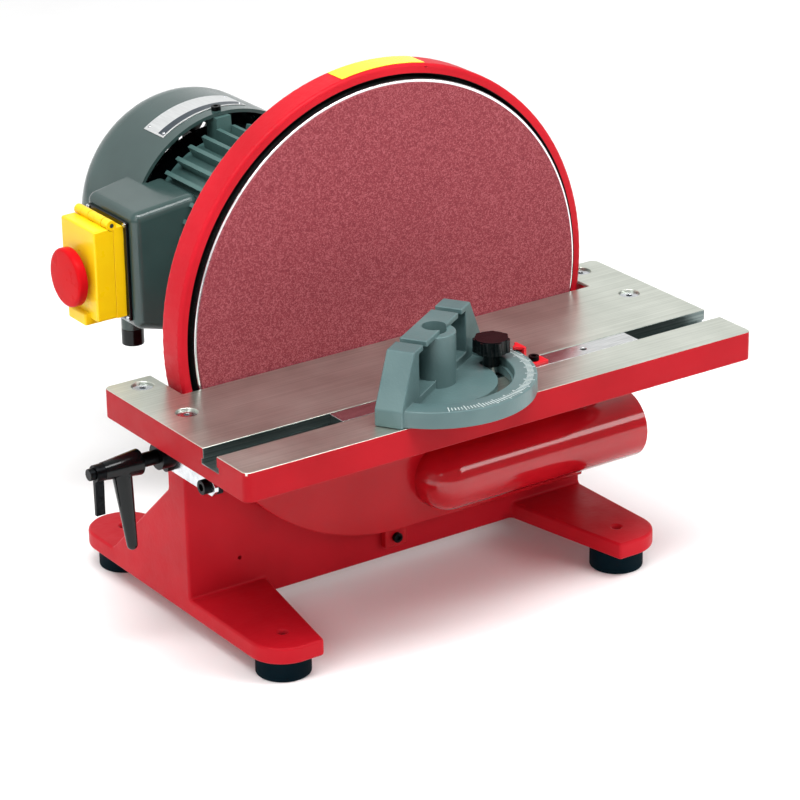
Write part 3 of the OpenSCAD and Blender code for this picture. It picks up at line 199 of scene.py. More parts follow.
def object_place(tree, stretch=(1, 1, 1)):
    source = tree.nodes.new("ShaderNodeTexCoord")
    mapping = tree.nodes.new("ShaderNodeMapping")
    mapping.inputs["Scale"].default_value = stretch
    tree.links.new(source.outputs["Object"], mapping.inputs["Vector"])
    return mapping.outputs["Vector"]


def mottle(tree, scale, detail=3, stretch=(1, 1, 1)):
    noise = tree.nodes.new("ShaderNodeTexNoise")
    noise.inputs["Scale"].default_value = scale
    noise.inputs["Detail"].default_value = detail
    tree.links.new(object_place(tree, stretch), noise.inputs["Vector"])
    return noise.outputs["Fac"]


def tinted(tree, pattern, *stops):
    ramp = tree.nodes.new("ShaderNodeValToRGB")
    while len(ramp.color_ramp.elements) < len(stops):
        ramp.color_ramp.elements.new(1)
    for element, (position, colour) in zip(ramp.color_ramp.elements, stops):
        element.position = position
        element.color = linear(*colour)
    tree.links.new(pattern, ramp.inputs["Fac"])
    return ramp.outputs["Color"]


def ranged(tree, pattern, low, high):
    spread = tree.nodes.new("ShaderNodeMapRange")
    spread.inputs["From Min"].default_value = noise_low
    spread.inputs["From Max"].default_value = noise_high
    spread.inputs["To Min"].default_value = low
    spread.inputs["To Max"].default_value = high
    tree.links.new(pattern, spread.inputs["Value"])
    return spread.outputs["Result"]


def bumped(tree, pattern, depth):
    bump = tree.nodes.new("ShaderNodeBump")
    bump.inputs["Strength"].default_value = 1
    bump.inputs["Distance"].default_value = depth
    tree.links.new(pattern, bump.inputs["Height"])
    return bump.outputs["Normal"]


finishes = {}

# %% [markdown]
# Paints, plastics and rubber differ in colour, gloss and skin, not in kind. One recipe serves them all: a
# slow mottle moves the colour between two close tones, a second one moves the gloss, and a fine one
# raises the skin, which is coarse on a sprayed casting and finer on a moulding.

# %% Paints, plastics and rubber
def coated(name, dark, light, gloss, skin_scale, skin_depth, tone_scale=14, shine=0.5, coat=0.0):
    finish, tree, shader = new_finish(name)
    links = tree.links
    tone = tinted(tree, mottle(tree, tone_scale), (0.35, dark), (0.65, light))
    links.new(tone, shader.inputs["Base Color"])
    links.new(ranged(tree, mottle(tree, tone_scale * 6), *gloss), shader.inputs["Roughness"])
    links.new(bumped(tree, mottle(tree, skin_scale, 2), skin_depth), shader.inputs["Normal"])
    shader.inputs["Specular IOR Level"].default_value = shine
    shader.inputs["Coat Weight"].default_value = coat
    shader.inputs["Coat Roughness"].default_value = 0.08
    finishes[name] = finish


coated("red_casting", (172, 19, 31), (186, 24, 37), (0.34, 0.48), 300, 0.00012, shine=0.09)
coated("red_sheet", (170, 16, 26), (182, 20, 31), (0.12, 0.2), 120, 0.00004, shine=0.12, coat=0.22)
coated("rubber", (1, 18, 26), (4, 26, 35), (0.6, 0.8), 900, 0.0001, shine=0.05)
coated("motor_paint", (56, 84, 82), (72, 102, 99), (0.32, 0.44), 420, 0.0001, shine=0.35)
coated("cowl_plastic", (44, 64, 62), (54, 75, 73), (0.18, 0.26), 600, 0.00003, shine=0.4, coat=0.25)
coated("black_plastic", (3, 6, 7), (8, 12, 13), (0.14, 0.22), 900, 0.00003, shine=0.25)
coated("grey_plastic", (150, 152, 150), (170, 172, 170), (0.4, 0.5), 900, 0.00004)
coated("yellow_plastic", (236, 192, 10), (243, 207, 16), (0.26, 0.36), 800, 0.00004, shine=0.3)
coated("red_plastic", (188, 15, 22), (198, 19, 26), (0.24, 0.34), 500, 0.00003, shine=0.04)
coated("green_plastic", (20, 130, 60), (26, 146, 70), (0.22, 0.32), 500, 0.00003)
coated("gauge_paint", (74, 98, 99), (90, 114, 114), (0.3, 0.42), 520, 0.0001, shine=0.4)
coated("pointer_paint", (200, 22, 32), (214, 28, 38), (0.24, 0.34), 600, 0.00004, shine=0.35)
print("coated finishes:", len(finishes))

# %% [markdown]
# Bare metals keep the marks of the tool that made them. Turning, grinding and drawing all leave fine
# lines, so one recipe stretches a noise along the lines and lets it move the colour, the gloss and the
# skin together.

# %% Bare metals
def tooled(name, dark, light, gloss, line_scale, stretch, depth=0.00002):
    finish, tree, shader = new_finish(name)
    links = tree.links
    lines = mottle(tree, line_scale, 4, stretch)
    links.new(tinted(tree, lines, (0.3, dark), (0.7, light)), shader.inputs["Base Color"])
    links.new(ranged(tree, lines, *gloss), shader.inputs["Roughness"])
    links.new(bumped(tree, lines, depth), shader.inputs["Normal"])
    shader.inputs["Metallic"].default_value = 1
    finishes[name] = finish


tooled("zinc", (178, 182, 186), (216, 219, 222), (0.19, 0.26), 160, (1, 1, 1))
tooled("black_steel", (14, 16, 17), (30, 32, 34), (0.34, 0.46), 500, (1, 1, 1))
tooled("core_steel", (90, 92, 95), (128, 130, 133), (0.35, 0.5), 900, (0.05, 1, 0.05))
tooled("copper", (150, 78, 42), (196, 112, 66), (0.25, 0.4), 700, (1, 0.1, 1))
tooled("bright_steel", (186, 188, 188), (222, 224, 224), (0.17, 0.26), 900, (0.06, 1, 1))
tooled("label", (198, 200, 200), (214, 216, 216), (0.3, 0.4), 1200, (1, 0.05, 1))
tooled("disc_aluminium", (214, 216, 218), (240, 241, 242), (0.19, 0.26), 1500, (0.03, 1, 0.03))
print("finishes so far:", sorted(finishes))

# %% [markdown]
# A finish may change over one piece. Where it changes is told by a mask, a value of 0 or 1 worked out
# from the object's own coordinates with math nodes. Masks are multiplied where all of them have to hold,
# and a mix node then lays one tone over another.

# %% Helpers for masks
def object_parts(tree):
    split = tree.nodes.new("ShaderNodeSeparateXYZ")
    tree.links.new(object_place(tree), split.inputs["Vector"])
    return split.outputs


def combined(tree, operation, first, second=0.0):
    math_node = tree.nodes.new("ShaderNodeMath")
    math_node.operation = operation
    for socket, value in zip(math_node.inputs, (first, second)):
        if isinstance(value, float):
            socket.default_value = value
        else:
            tree.links.new(value, socket)
    return math_node.outputs["Value"]


def all_of(tree, first, *others):
    mask = first
    for other in others:
        mask = combined(tree, "MULTIPLY", mask, other)
    return mask


def blended(tree, mask, under, over, kind):
    mix = tree.nodes.new("ShaderNodeMix")
    mix.data_type = kind
    socket_type = "RGBA" if kind == "RGBA" else "VALUE"
    sockets = {socket.name: socket for socket in mix.inputs if socket.type == socket_type}
    tree.links.new(mask, mix.inputs["Factor"])
    tree.links.new(under, sockets["A"])
    tree.links.new(over, sockets["B"])
    return [socket for socket in mix.outputs if socket.type == socket_type][0]

# %% [markdown]
# The table is a painted casting with a top ground bright. Two pieces would leave a seam, so one finish
# serves the whole table, and a mask tells metal from paint: it is 1 on the top face, in the mitre slot
# and in the screw holes, which are found by their place.

# %% Where the table is bare metal
table_low, table_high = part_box("work_table")
half_length = table_high.x - spindle.x
slot_behind_face = -92
slot_middle = place(0, slot_behind_face, 0).y
slot_half_width = 0.0102
slot_depth = 0.0125
recess_depth = 0.0019
rim_width = 0.001
top_skin = 0.0003
end_skin = 0.0002

table_finish, tree, shader = new_finish("ground_iron")
parts = object_parts(tree)
from_middle = combined(tree, "ABSOLUTE", combined(tree, "SUBTRACT", parts["X"], spindle.x))
from_slot = combined(tree, "ABSOLUTE", combined(tree, "SUBTRACT", parts["Y"], slot_middle))
on_top = combined(tree, "GREATER_THAN", parts["Z"], table_high.z - top_skin)
in_slot = all_of(
    tree,
    combined(tree, "LESS_THAN", from_slot, slot_half_width),
    combined(tree, "GREATER_THAN", parts["Z"], table_high.z - slot_depth),
    combined(tree, "LESS_THAN", from_middle, half_length - end_skin),
)
in_recess = all_of(
    tree,
    combined(tree, "GREATER_THAN", parts["Z"], table_high.z - recess_depth),
    combined(tree, "LESS_THAN", from_middle, half_length - rim_width),
    combined(tree, "GREATER_THAN", parts["Y"], table_low.y + rim_width),
    combined(tree, "LESS_THAN", parts["Y"], table_high.y - rim_width),
)
ground = combined(tree, "MAXIMUM", on_top, combined(tree, "MAXIMUM", in_slot, in_recess))
print("ground above", round(1000 * (table_high.z - top_skin), 1), "mm")

# %% [markdown]
# The mask then mixes the metal over the paint, in tone, in gloss and in how far it is a metal. Grinding
# leaves fine lines along the table, and soft clouds lie over them. Inside the slot the walls and floor
# take a darker steel tone, a painted shade for the shadow that fills the slot.

# %% Table finish
ground_metallic = 0.92
grinding_depth = 0.000002

grinding = mottle(tree, 900, 2, (0.012, 1, 1))
clouds = mottle(tree, 26, 4)
marks_and_clouds = combined(tree, "MULTIPLY", combined(tree, "ADD", grinding, clouds), 0.5)
steel_tone = tinted(tree, marks_and_clouds, (0.35, (184, 189, 178)), (0.65, (212, 216, 206)))
# Painted shade: the slot's walls and floor get a darker steel tone for the shadow in the slot.
slot_painted_shade = tinted(tree, grinding, (0.35, (98, 110, 109)), (0.65, (122, 132, 130)))
slot_shade_mask = combined(tree, "MULTIPLY", in_slot, combined(tree, "SUBTRACT", 1.0, on_top))
metal_tone = blended(tree, slot_shade_mask, steel_tone, slot_painted_shade, "RGBA")
paint_tone = tinted(tree, mottle(tree, 14), (0.35, (154, 13, 24)), (0.65, (168, 17, 29)))
tree.links.new(blended(tree, ground, paint_tone, metal_tone, "RGBA"), shader.inputs["Base Color"])
tree.links.new(combined(tree, "MULTIPLY", ground, ground_metallic), shader.inputs["Metallic"])
steel_gloss = ranged(tree, clouds, 0.29, 0.36)
paint_gloss = ranged(tree, mottle(tree, 84), 0.34, 0.48)
tree.links.new(blended(tree, ground, paint_gloss, steel_gloss, "FLOAT"), shader.inputs["Roughness"])
tree.links.new(bumped(tree, grinding, grinding_depth), shader.inputs["Normal"])
shader.inputs["Specular IOR Level"].default_value = 0.09
finishes["ground_iron"] = table_finish
print("nodes in the table's finish:", len(tree.nodes))

# %% [markdown]
# The inside of the guard lies in deep shade, so a near-black painted shade is laid over the red there.
# The bore is told from the rest of the casting by its distance from the spindle, which is found from two
# of the object's own coordinates, and the same mask blends this painted shade over the red.

# %% Painted shade in the bore of the guard
casting_tree = finishes["red_casting"].node_tree
casting_shader = casting_tree.nodes["Principled BSDF"]
casting_paint = casting_shader.inputs["Base Color"].links[0].from_socket
bore_radius = 0.1557
bore_floor = place(0, 19.7, 0).y


def from_spindle(tree):
    parts = object_parts(tree)
    across = combined(tree, "SUBTRACT", parts["X"], spindle.x)
    above = combined(tree, "SUBTRACT", parts["Z"], spindle.z)
    return across, above, parts["Y"]


across, above, depth = from_spindle(casting_tree)
across_squared = combined(casting_tree, "MULTIPLY", across, across)
above_squared = combined(casting_tree, "MULTIPLY", above, above)
both_squared = combined(casting_tree, "ADD", across_squared, above_squared)
bore_shade_mask = all_of(
    casting_tree,
    combined(casting_tree, "LESS_THAN", both_squared, bore_radius * bore_radius),
    combined(casting_tree, "LESS_THAN", depth, bore_floor),
)
# The near-black tone is painted shade for the dark inside of the guard, not a colour of the paint.
painted_bore_shade = tinted(casting_tree, mottle(casting_tree, 60), (0.3, (14, 12, 14)), (0.7, (26, 20, 22)))
paint_and_bore_shade = blended(casting_tree, bore_shade_mask, casting_paint, painted_bore_shade, "RGBA")
casting_tree.links.new(paint_and_bore_shade, casting_shader.inputs["Base Color"])
print("bore radius in mm:", 1000 * bore_radius)

# %% [markdown]
# The lower guard is pressed sheet and its spout is smoother than its flat face, so the spout mirrors the
# lamp in a clear streak. The spout stands in front of the face, and the depth of a point tells which of
# the two it belongs to: there the clear coat grows stronger.

# %% Gloss of the spout
sheet_tree = finishes["red_sheet"].node_tree
face_depth = place(0, -10.2, 0).y
face_coat = 0.1
spout_coat = 0.8
growth_per_metre = 90.0
proud = combined(sheet_tree, "SUBTRACT", face_depth, object_parts(sheet_tree)["Y"])
proud_share = combined(sheet_tree, "MINIMUM", combined(sheet_tree, "MULTIPLY", proud, growth_per_metre), 1.0)
on_spout = combined(sheet_tree, "MAXIMUM", proud_share, 0.0)
added_coat = combined(sheet_tree, "MULTIPLY", on_spout, spout_coat - face_coat)
sheet_coat = combined(sheet_tree, "ADD", added_coat, face_coat)
sheet_tree.links.new(sheet_coat, sheet_tree.nodes["Principled BSDF"].inputs["Coat Weight"])
print("coat of the face and the spout:", face_coat, spout_coat)

# %% [markdown]
# The rating plate on the fan cowl is a pale sheet with a light rim and a plain dark band along its front
# edge. The band and the rim follow the round cowl, so they are set out by depth and by the angle round
# the motor's axis.

# %% Rating plate finish
plate_low, plate_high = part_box("rating_plate")
plate_tree = finishes["label"].node_tree
plate_shader = plate_tree.nodes["Principled BSDF"]
plate_metal = plate_shader.inputs["Base Color"].links[0].from_socket
plate_first_angle = math.radians(74)
plate_last_angle = math.radians(124)
plate_rim_angle = math.radians(1)
plate_rim_width = 0.0012
band_end = 0.0085
plate_metallic = 0.7

across, above, depth = from_spindle(plate_tree)
plate_angle = combined(plate_tree, "ARCTAN2", above, across)
band = all_of(
    plate_tree,
    combined(plate_tree, "GREATER_THAN", depth, plate_low.y + plate_rim_width),
    combined(plate_tree, "LESS_THAN", depth, plate_low.y + band_end),
    combined(plate_tree, "GREATER_THAN", plate_angle, plate_first_angle + plate_rim_angle),
    combined(plate_tree, "LESS_THAN", plate_angle, plate_last_angle - plate_rim_angle),
)
band_tone = tinted(plate_tree, mottle(plate_tree, 200), (0.3, (20, 34, 44)), (0.7, (30, 46, 56)))
plate_tone = blended(plate_tree, band, plate_metal, band_tone, "RGBA")
plate_tree.links.new(plate_tone, plate_shader.inputs["Base Color"])
bare_share = combined(plate_tree, "SUBTRACT", 1.0, band)
bare_metal = combined(plate_tree, "MULTIPLY", bare_share, plate_metallic)
plate_tree.links.new(bare_metal, plate_shader.inputs["Metallic"])
print("rating plate in mm:", [round(1000 * side, 1) for side in plate_high - plate_low])

# %% [markdown]
# Abrasive paper is a bed of sharp grains in a brown-red bond. Voronoi cells make the grains: each cell
# has its own colour, and the distance from the cell's middle gives it a rounded height.

# %% Abrasive finish
grains_per_metre = 1500
grain_share = 0.7
grain_height = 0.0002

abrasive_finish, tree, shader = new_finish("abrasive")
grains = tree.nodes.new("ShaderNodeTexVoronoi")
grains.inputs["Scale"].default_value = grains_per_metre
tree.links.new(object_place(tree), grains.inputs["Vector"])
grain_shade = tree.nodes.new("ShaderNodeSeparateColor")
tree.links.new(grains.outputs["Color"], grain_shade.inputs["Color"])
grain_part = combined(tree, "MULTIPLY", grain_shade.outputs["Red"], grain_share)
bond_part = combined(tree, "MULTIPLY", mottle(tree, 260, 4), 1 - grain_share)
grain_mix = combined(tree, "ADD", grain_part, bond_part)
grain_tone = tinted(tree, grain_mix, (0.1, (112, 40, 48)), (0.5, (134, 54, 62)), (0.95, (168, 92, 98)))
tree.links.new(grain_tone, shader.inputs["Base Color"])
shader.inputs["Roughness"].default_value = 0.75
shader.inputs["Specular IOR Level"].default_value = 0.2
tree.links.new(bumped(tree, grains.outputs["Distance"], grain_height), shader.inputs["Normal"])
finishes["abrasive"] = abrasive_finish
print("finishes in all:", len(finishes))

# %% [markdown]
# Each solid takes the finish of its material slot in the record. Assigning to the object's own slots
# leaves the mesh as it came.

# %% Dress the solids
slot_of = {piece["node"]: piece["material_slot"] for piece in frame["record"]["subparts"]}
for node, solid in frame["nodes"].items():
    for material_slot in solid.material_slots:
        material_slot.material = finishes[slot_of[node]]
print("dressed solids:", len(frame["nodes"]))

# %% [markdown]
# No edge of a casting, a moulding or a pressing is truly sharp, and the thin highlight along an eased
# edge is what makes it look real. A Bevel modifier does this on a copy of the solid, where there is room
# for it. To find the room, a line is drawn from the edge across each of its two flat faces to the next
# rim, and a run of edges takes the least room along it.

# %% Room beside an edge
level_angle = math.radians(0.7)
bend_angle = math.radians(40)
sharp_angle = math.radians(32)
tried_shares = (0.15, 0.5, 0.85)
least_room = 0.000001
most_room = 1.0


def flat_regions(shape):
    region_of = {}
    for face in shape.faces:
        if face in region_of:
            continue
        region = {face}
        waiting = [face]
        while waiting:
            here = waiting.pop()
            beside = {other for edge in here.edges for other in edge.link_faces} - region
            level = [other for other in beside if other.normal.dot(here.normal) > math.cos(level_angle)]
            region.update(level)
            waiting.extend(level)
        rim = [edge for member in region for edge in member.edges
               if not all(other in region for other in edge.link_faces)]
        region_of.update({member: rim for member in region})
    return region_of


def room_across(loop, rim):
    start = loop.vert.co
    step = loop.link_loop_next.vert.co - start
    along = step.normalized()
    inward = loop.face.normal.cross(along)
    others = [edge for edge in rim if not set(edge.verts) & set(loop.edge.verts)]
    nearest = most_room
    for share in tried_shares:
        point = start + step * share
        for edge in others:
            first, second = (vert.co - point for vert in edge.verts)
            first_side, second_side = first.dot(along), second.dot(along)
            if (first_side < 0) != (second_side < 0):
                part = first_side / (first_side - second_side)
                distance = first.dot(inward) * (1 - part) + second.dot(inward) * part
                if least_room < distance < nearest:
                    nearest = distance
    return nearest


def goes_on(edges, vert):
    if len(edges) != 2:
        return False
    ways = [(edge.other_vert(vert).co - vert.co).normalized() for edge in edges]
    return ways[0].dot(ways[1]) < -math.cos(bend_angle)


def room_at_edges(shape):
    region_of = flat_regions(shape)
    sharp = [edge for edge in shape.edges
             if len(edge.link_faces) == 2 and edge.calc_face_angle() > sharp_angle]
    room = {edge: min(room_across(loop, region_of[loop.face]) for loop in edge.link_loops) for edge in sharp}
    run_of = {edge: {edge} for edge in sharp}
    for vert in shape.verts:
        meeting = [edge for edge in vert.link_edges if edge in room]
        if goes_on(meeting, vert):
            run = run_of[meeting[0]] | run_of[meeting[1]]
            run_of.update({edge: run for edge in run})
        elif len(meeting) > 1:
            shortest = min(edge.calc_length() for edge in meeting)
            for edge in meeting:
                if edge.calc_length() <= shortest:
                    room[edge] = min(room[edge], shortest)
    return {edge: min(room[member] for member in run_of[edge]) for edge in sharp}

# %% [markdown]
# The copy of a solid comes as loose triangles, so it is welded and its flat faces are joined first. An
# edge with room gets a bevel weight of 1. Edges without room stay crisp, so they are marked sharp.

# %% Weigh the edges of a copy
weld_distance = 0.000002
flat_angle = math.radians(0.6)
room_in_widths = 2.2


def weighed_copy(node, width, inner_edges):
    mesh = frame["nodes"][node].data.copy()
    mesh.name = node + "_softened"
    for layer in ("custom_normal", "sharp_edge", "sharp_face"):
        if layer in mesh.attributes:
            mesh.attributes.remove(mesh.attributes[layer])
    shape = bmesh.new()
    shape.from_mesh(mesh)
    bmesh.ops.remove_doubles(shape, verts=shape.verts, dist=weld_distance)
    bmesh.ops.dissolve_limit(shape, angle_limit=flat_angle, verts=shape.verts, edges=shape.edges)
    weight = shape.edges.layers.float.new("bevel_weight_edge")
    for edge, room in room_at_edges(shape).items():
        edge[weight] = 1 if room > room_in_widths * width and (inner_edges or edge.is_convex) else 0
        edge.smooth = edge[weight] > 0
    for face in shape.faces:
        face.smooth = True
    shape.to_mesh(mesh)
    shape.free()
    return mesh

# %% [markdown]
# The modifier takes its edges from the weights, and hardened normals keep the flat faces flat. Inner
# corners are rounded on two castings and the pressed guard alone, because in a bored hole the rounding
# would stand in the way of the pin that slides there.

# %% Soften the edges
bevel_segments = 3


def softened(node, width, inner_edges):
    piece = bpy.data.objects.new(node + "_softened", weighed_copy(node, width, inner_edges))
    scene.collection.objects.link(piece)
    bevel = piece.modifiers.new("softened_edges", "BEVEL")
    bevel.limit_method = "WEIGHT"
    bevel.width = width
    bevel.segments = bevel_segments
    bevel.use_clamp_overlap = False
    bevel.loop_slide = False
    bevel.miter_outer = "MITER_ARC"
    bevel.harden_normals = True
    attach(piece, body_of(frame["nodes"][node])[0])
    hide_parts(node)
    return piece


edge_widths_mm = {
    "base_casting": 2.0, "lower_guard": 0.9, "work_table": 0.7, "rubber_feet": 1.2, "disc_plate": 0.6,
    "motor_flange": 1.0, "rating_plate": 0.15,
    "switch_panel": 0.6, "switch_frame": 0.5, "switch_flap": 1.6,
    "bar_left": 0.5, "bar_right": 0.5, "seat_left": 0.8, "seat_right": 0.8,
    "trunnion_left": 0.4, "trunnion_right": 0.4, "lever_handle": 0.9, "lever_tab": 0.4, "lever_button": 0.4,
    "guide_bar": 0.4, "mitre_head": 0.9, "scale_pointer": 0.25, "star_knob": 0.8, "cable_gland": 0.5,
    "bar_screws": 0.35, "guard_screws": 0.3, "motor_bolts": 0.4, "table_screws": 0.25,
    "clamp_bolt_right": 0.5,
}
rounded_inside = {"base_casting", "lower_guard", "mitre_head"}
softened_pieces = {node: softened(node, width / 1000, node in rounded_inside)
                   for node, width in edge_widths_mm.items()}
print("softened pieces:", len(softened_pieces))

# %% [markdown]
# A turned piece is half an outline swept round an axis. The outline is listed once, from the middle of one
# face to the middle of the other. A spin would do too, but rings joined by faces leave closed poles and
# need no welding.

# %% Turned shapes
turned_segments = 96
crease_angle = math.radians(40)


def turned(name, outline, centre):
    verts = [centre + Vector((outline[0][0] / 1000, 0, 0))]
    for along, radius in outline[1:-1]:
        for step in range(turned_segments):
            angle = 2 * math.pi * step / turned_segments
            spoke = Vector((along, radius * math.cos(angle), radius * math.sin(angle)))
            verts.append(centre + spoke / 1000)
    verts.append(centre + Vector((outline[-1][0] / 1000, 0, 0)))
    rings = len(outline) - 2
    faces = []
    for step in range(turned_segments):
        after = (step + 1) % turned_segments
        faces.append((0, 1 + after, 1 + step))
        for ring in range(rings - 1):
            inner = 1 + ring * turned_segments
            outer = inner + turned_segments
            faces.append((inner + step, inner + after, outer + after, outer + step))
        last = 1 + (rings - 1) * turned_segments
        faces.append((last + step, last + after, len(verts) - 1))
    mesh = bpy.data.meshes.new(name)
    mesh.from_pydata(verts, [], faces)
    shape = bmesh.new()
    shape.from_mesh(mesh)
    bmesh.ops.recalc_face_normals(shape, faces=shape.faces)
    for face in shape.faces:
        face.smooth = True
    for edge in shape.edges:
        edge.smooth = edge.calc_face_angle() < crease_angle
    shape.to_mesh(mesh)
    shape.free()
    piece = bpy.data.objects.new(name, mesh)
    scene.collection.objects.link(piece)
    return piece

# %% [markdown]
# The stop mushroom is such a shape: a broad cap with a soft rim, a collar behind it and a stem. The rim is
# a quarter of a circle, and the face is slightly domed, as on a moulded button.

# %% Stop mushroom
cap_low, cap_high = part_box("stop_mushroom")
cap_middle = Vector((cap_low.x, (cap_low.y + cap_high.y) / 2, (cap_low.z + cap_high.z) / 2))
cap_radius = 1000 * (cap_high.z - cap_low.z) / 2
stem_end = 1000 * (cap_high.x - cap_low.x)
face_drop = 0.4
rim_round = 2.4
collar_radius = 13.0
stem_radius = 4.0
rim_turns = [math.radians(90 - 15 * step) for step in range(7)]
face_curve = [(0, 0), (0.03, 6), (0.12, 11), (0.26, 15)]
rim_curve = [(face_drop + rim_round * (1 - math.sin(turn)), cap_radius - rim_round * (1 - math.cos(turn)))
             for turn in rim_turns]
back_curve = [(6.8, cap_radius), (7.6, cap_radius - 0.4), (8.0, cap_radius - 1.2)]
collar_steps = [(8.0, collar_radius), (9.1, collar_radius)]
stem_steps = [(9.1, stem_radius), (stem_end, stem_radius), (stem_end, 0)]
cap_outline = face_curve + rim_curve + back_curve + collar_steps + stem_steps
mushroom = turned("stop_mushroom_turned", cap_outline, cap_middle)
mushroom.data.materials.append(finishes["red_plastic"])
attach(mushroom, body_of(frame["nodes"]["stop_mushroom"])[0])
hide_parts("stop_mushroom")
print("mushroom faces:", len(mushroom.data.polygons))

# %% [markdown]
# The scale on the mitre gauge and the rivets of the rating plate are the same idea: small marks at even
# angles round an axis. Typing each place would work, but Geometry Nodes keep the rule in one tree with
# named inputs. Points are spread on an arc, each gets a small bar or dome turned to its angle, and every
# so many bars one is longer.

# %% Inputs and math of the tree
def new_marks_tree():
    tree = bpy.data.node_groups.new("spaced_marks", "GeometryNodeTree")
    kinds = {
        "Count": "Int", "Rows": "Int", "First Angle": "Float", "Step Angle": "Float", "Radius": "Float",
        "Row Spacing": "Float", "Size": "Vector", "Long Every": "Int", "Long Share": "Float", "Round": "Bool",
        "Turn": "Vector", "Centre": "Vector", "Finish": "Material",
    }
    for name, kind in kinds.items():
        tree.interface.new_socket(name, in_out="INPUT", socket_type="NodeSocket" + kind)
    tree.interface.new_socket("Geometry", in_out="OUTPUT", socket_type="NodeSocketGeometry")
    return tree


def filled(tree, sockets, values):
    for socket, value in zip(sockets, values):
        if isinstance(value, (int, float)):
            socket.default_value = value
        else:
            tree.links.new(value, socket)


def worked(tree, operation, *values):
    node = tree.nodes.new("ShaderNodeMath")
    node.operation = operation
    filled(tree, node.inputs, values)
    return node.outputs["Value"]


def joined(tree, *values):
    node = tree.nodes.new("ShaderNodeCombineXYZ")
    filled(tree, node.inputs, values)
    return node.outputs["Vector"]

# %% [markdown]
# The points come first. A mesh line gives as many points as there are marks, and each finds its column
# and its row from its index. The column sets the angle round the axis, and the row the place along it.

# %% Points on an arc
def marks_on_arc(tree, given):
    index = tree.nodes.new("GeometryNodeInputIndex").outputs["Index"]
    column = worked(tree, "MODULO", index, given["Count"])
    row = worked(tree, "FLOOR", worked(tree, "DIVIDE", index, given["Count"]))
    angle = worked(tree, "MULTIPLY_ADD", column, given["Step Angle"], given["First Angle"])
    line = tree.nodes.new("GeometryNodeMeshLine")
    tree.links.new(worked(tree, "MULTIPLY", given["Count"], given["Rows"]), line.inputs["Count"])
    spread = tree.nodes.new("GeometryNodeSetPosition")
    tree.links.new(line.outputs["Mesh"], spread.inputs["Geometry"])
    across = worked(tree, "MULTIPLY", given["Radius"], worked(tree, "COSINE", angle))
    above = worked(tree, "MULTIPLY", given["Radius"], worked(tree, "SINE", angle))
    along = worked(tree, "MULTIPLY", row, given["Row Spacing"])
    tree.links.new(joined(tree, across, above, along), spread.inputs["Position"])
    return spread.outputs["Geometry"], column, angle

# %% [markdown]
# Then the mark itself: a bar, or a ball squashed to a dome, as the Round input says.

# %% Shape of a mark
def mark_shape(tree, given):
    bar = tree.nodes.new("GeometryNodeMeshCube")
    tree.links.new(given["Size"], bar.inputs["Size"])
    ball = tree.nodes.new("GeometryNodeMeshUVSphere")
    ball.inputs["Segments"].default_value = 20
    ball.inputs["Rings"].default_value = 10
    ball.inputs["Radius"].default_value = 0.5
    smooth_ball = tree.nodes.new("GeometryNodeSetShadeSmooth")
    tree.links.new(ball.outputs["Mesh"], smooth_ball.inputs["Geometry"])
    dome = tree.nodes.new("GeometryNodeTransform")
    tree.links.new(smooth_ball.outputs["Geometry"], dome.inputs["Geometry"])
    tree.links.new(given["Size"], dome.inputs["Scale"])
    shape = tree.nodes.new("GeometryNodeSwitch")
    shape.input_type = "GEOMETRY"
    tree.links.new(given["Round"], shape.inputs["Switch"])
    tree.links.new(bar.outputs["Mesh"], shape.inputs["False"])
    tree.links.new(dome.outputs["Geometry"], shape.inputs["True"])
    return shape.outputs["Output"]

# %% [markdown]
# Last, a mark is put on every point and turned to its angle, the whole set is turned and moved to its
# place on the machine, and the instances are made real and get their finish.

# %% A tree that spaces marks round an axis
def spaced_marks_tree():
    tree = new_marks_tree()
    given = tree.nodes.new("NodeGroupInput").outputs
    points, column, angle = marks_on_arc(tree, given)
    is_long = worked(tree, "LESS_THAN", worked(tree, "MODULO", column, given["Long Every"]), 0.5)
    length = worked(tree, "MULTIPLY_ADD", is_long, given["Long Share"], 1.0)
    put = tree.nodes.new("GeometryNodeInstanceOnPoints")
    tree.links.new(points, put.inputs["Points"])
    tree.links.new(mark_shape(tree, given), put.inputs["Instance"])
    tree.links.new(joined(tree, 0, 0, angle), put.inputs["Rotation"])
    tree.links.new(joined(tree, length, 1, 1), put.inputs["Scale"])
    moved = tree.nodes.new("GeometryNodeTransform")
    tree.links.new(put.outputs["Instances"], moved.inputs["Geometry"])
    tree.links.new(given["Centre"], moved.inputs["Translation"])
    tree.links.new(given["Turn"], moved.inputs["Rotation"])
    real = tree.nodes.new("GeometryNodeRealizeInstances")
    tree.links.new(moved.outputs["Geometry"], real.inputs["Geometry"])
    dressed = tree.nodes.new("GeometryNodeSetMaterial")
    tree.links.new(real.outputs["Geometry"], dressed.inputs["Geometry"])
    tree.links.new(given["Finish"], dressed.inputs["Material"])
    tree.links.new(dressed.outputs["Geometry"], tree.nodes.new("NodeGroupOutput").inputs["Geometry"])
    return tree


marks_tree = spaced_marks_tree()
print("nodes in the tree:", len(marks_tree.nodes))

# %% [markdown]
# A modifier needs an object to work on, so the tree grows its marks on an empty mesh. The result is baked
# into a mesh of its own, and the grower goes.

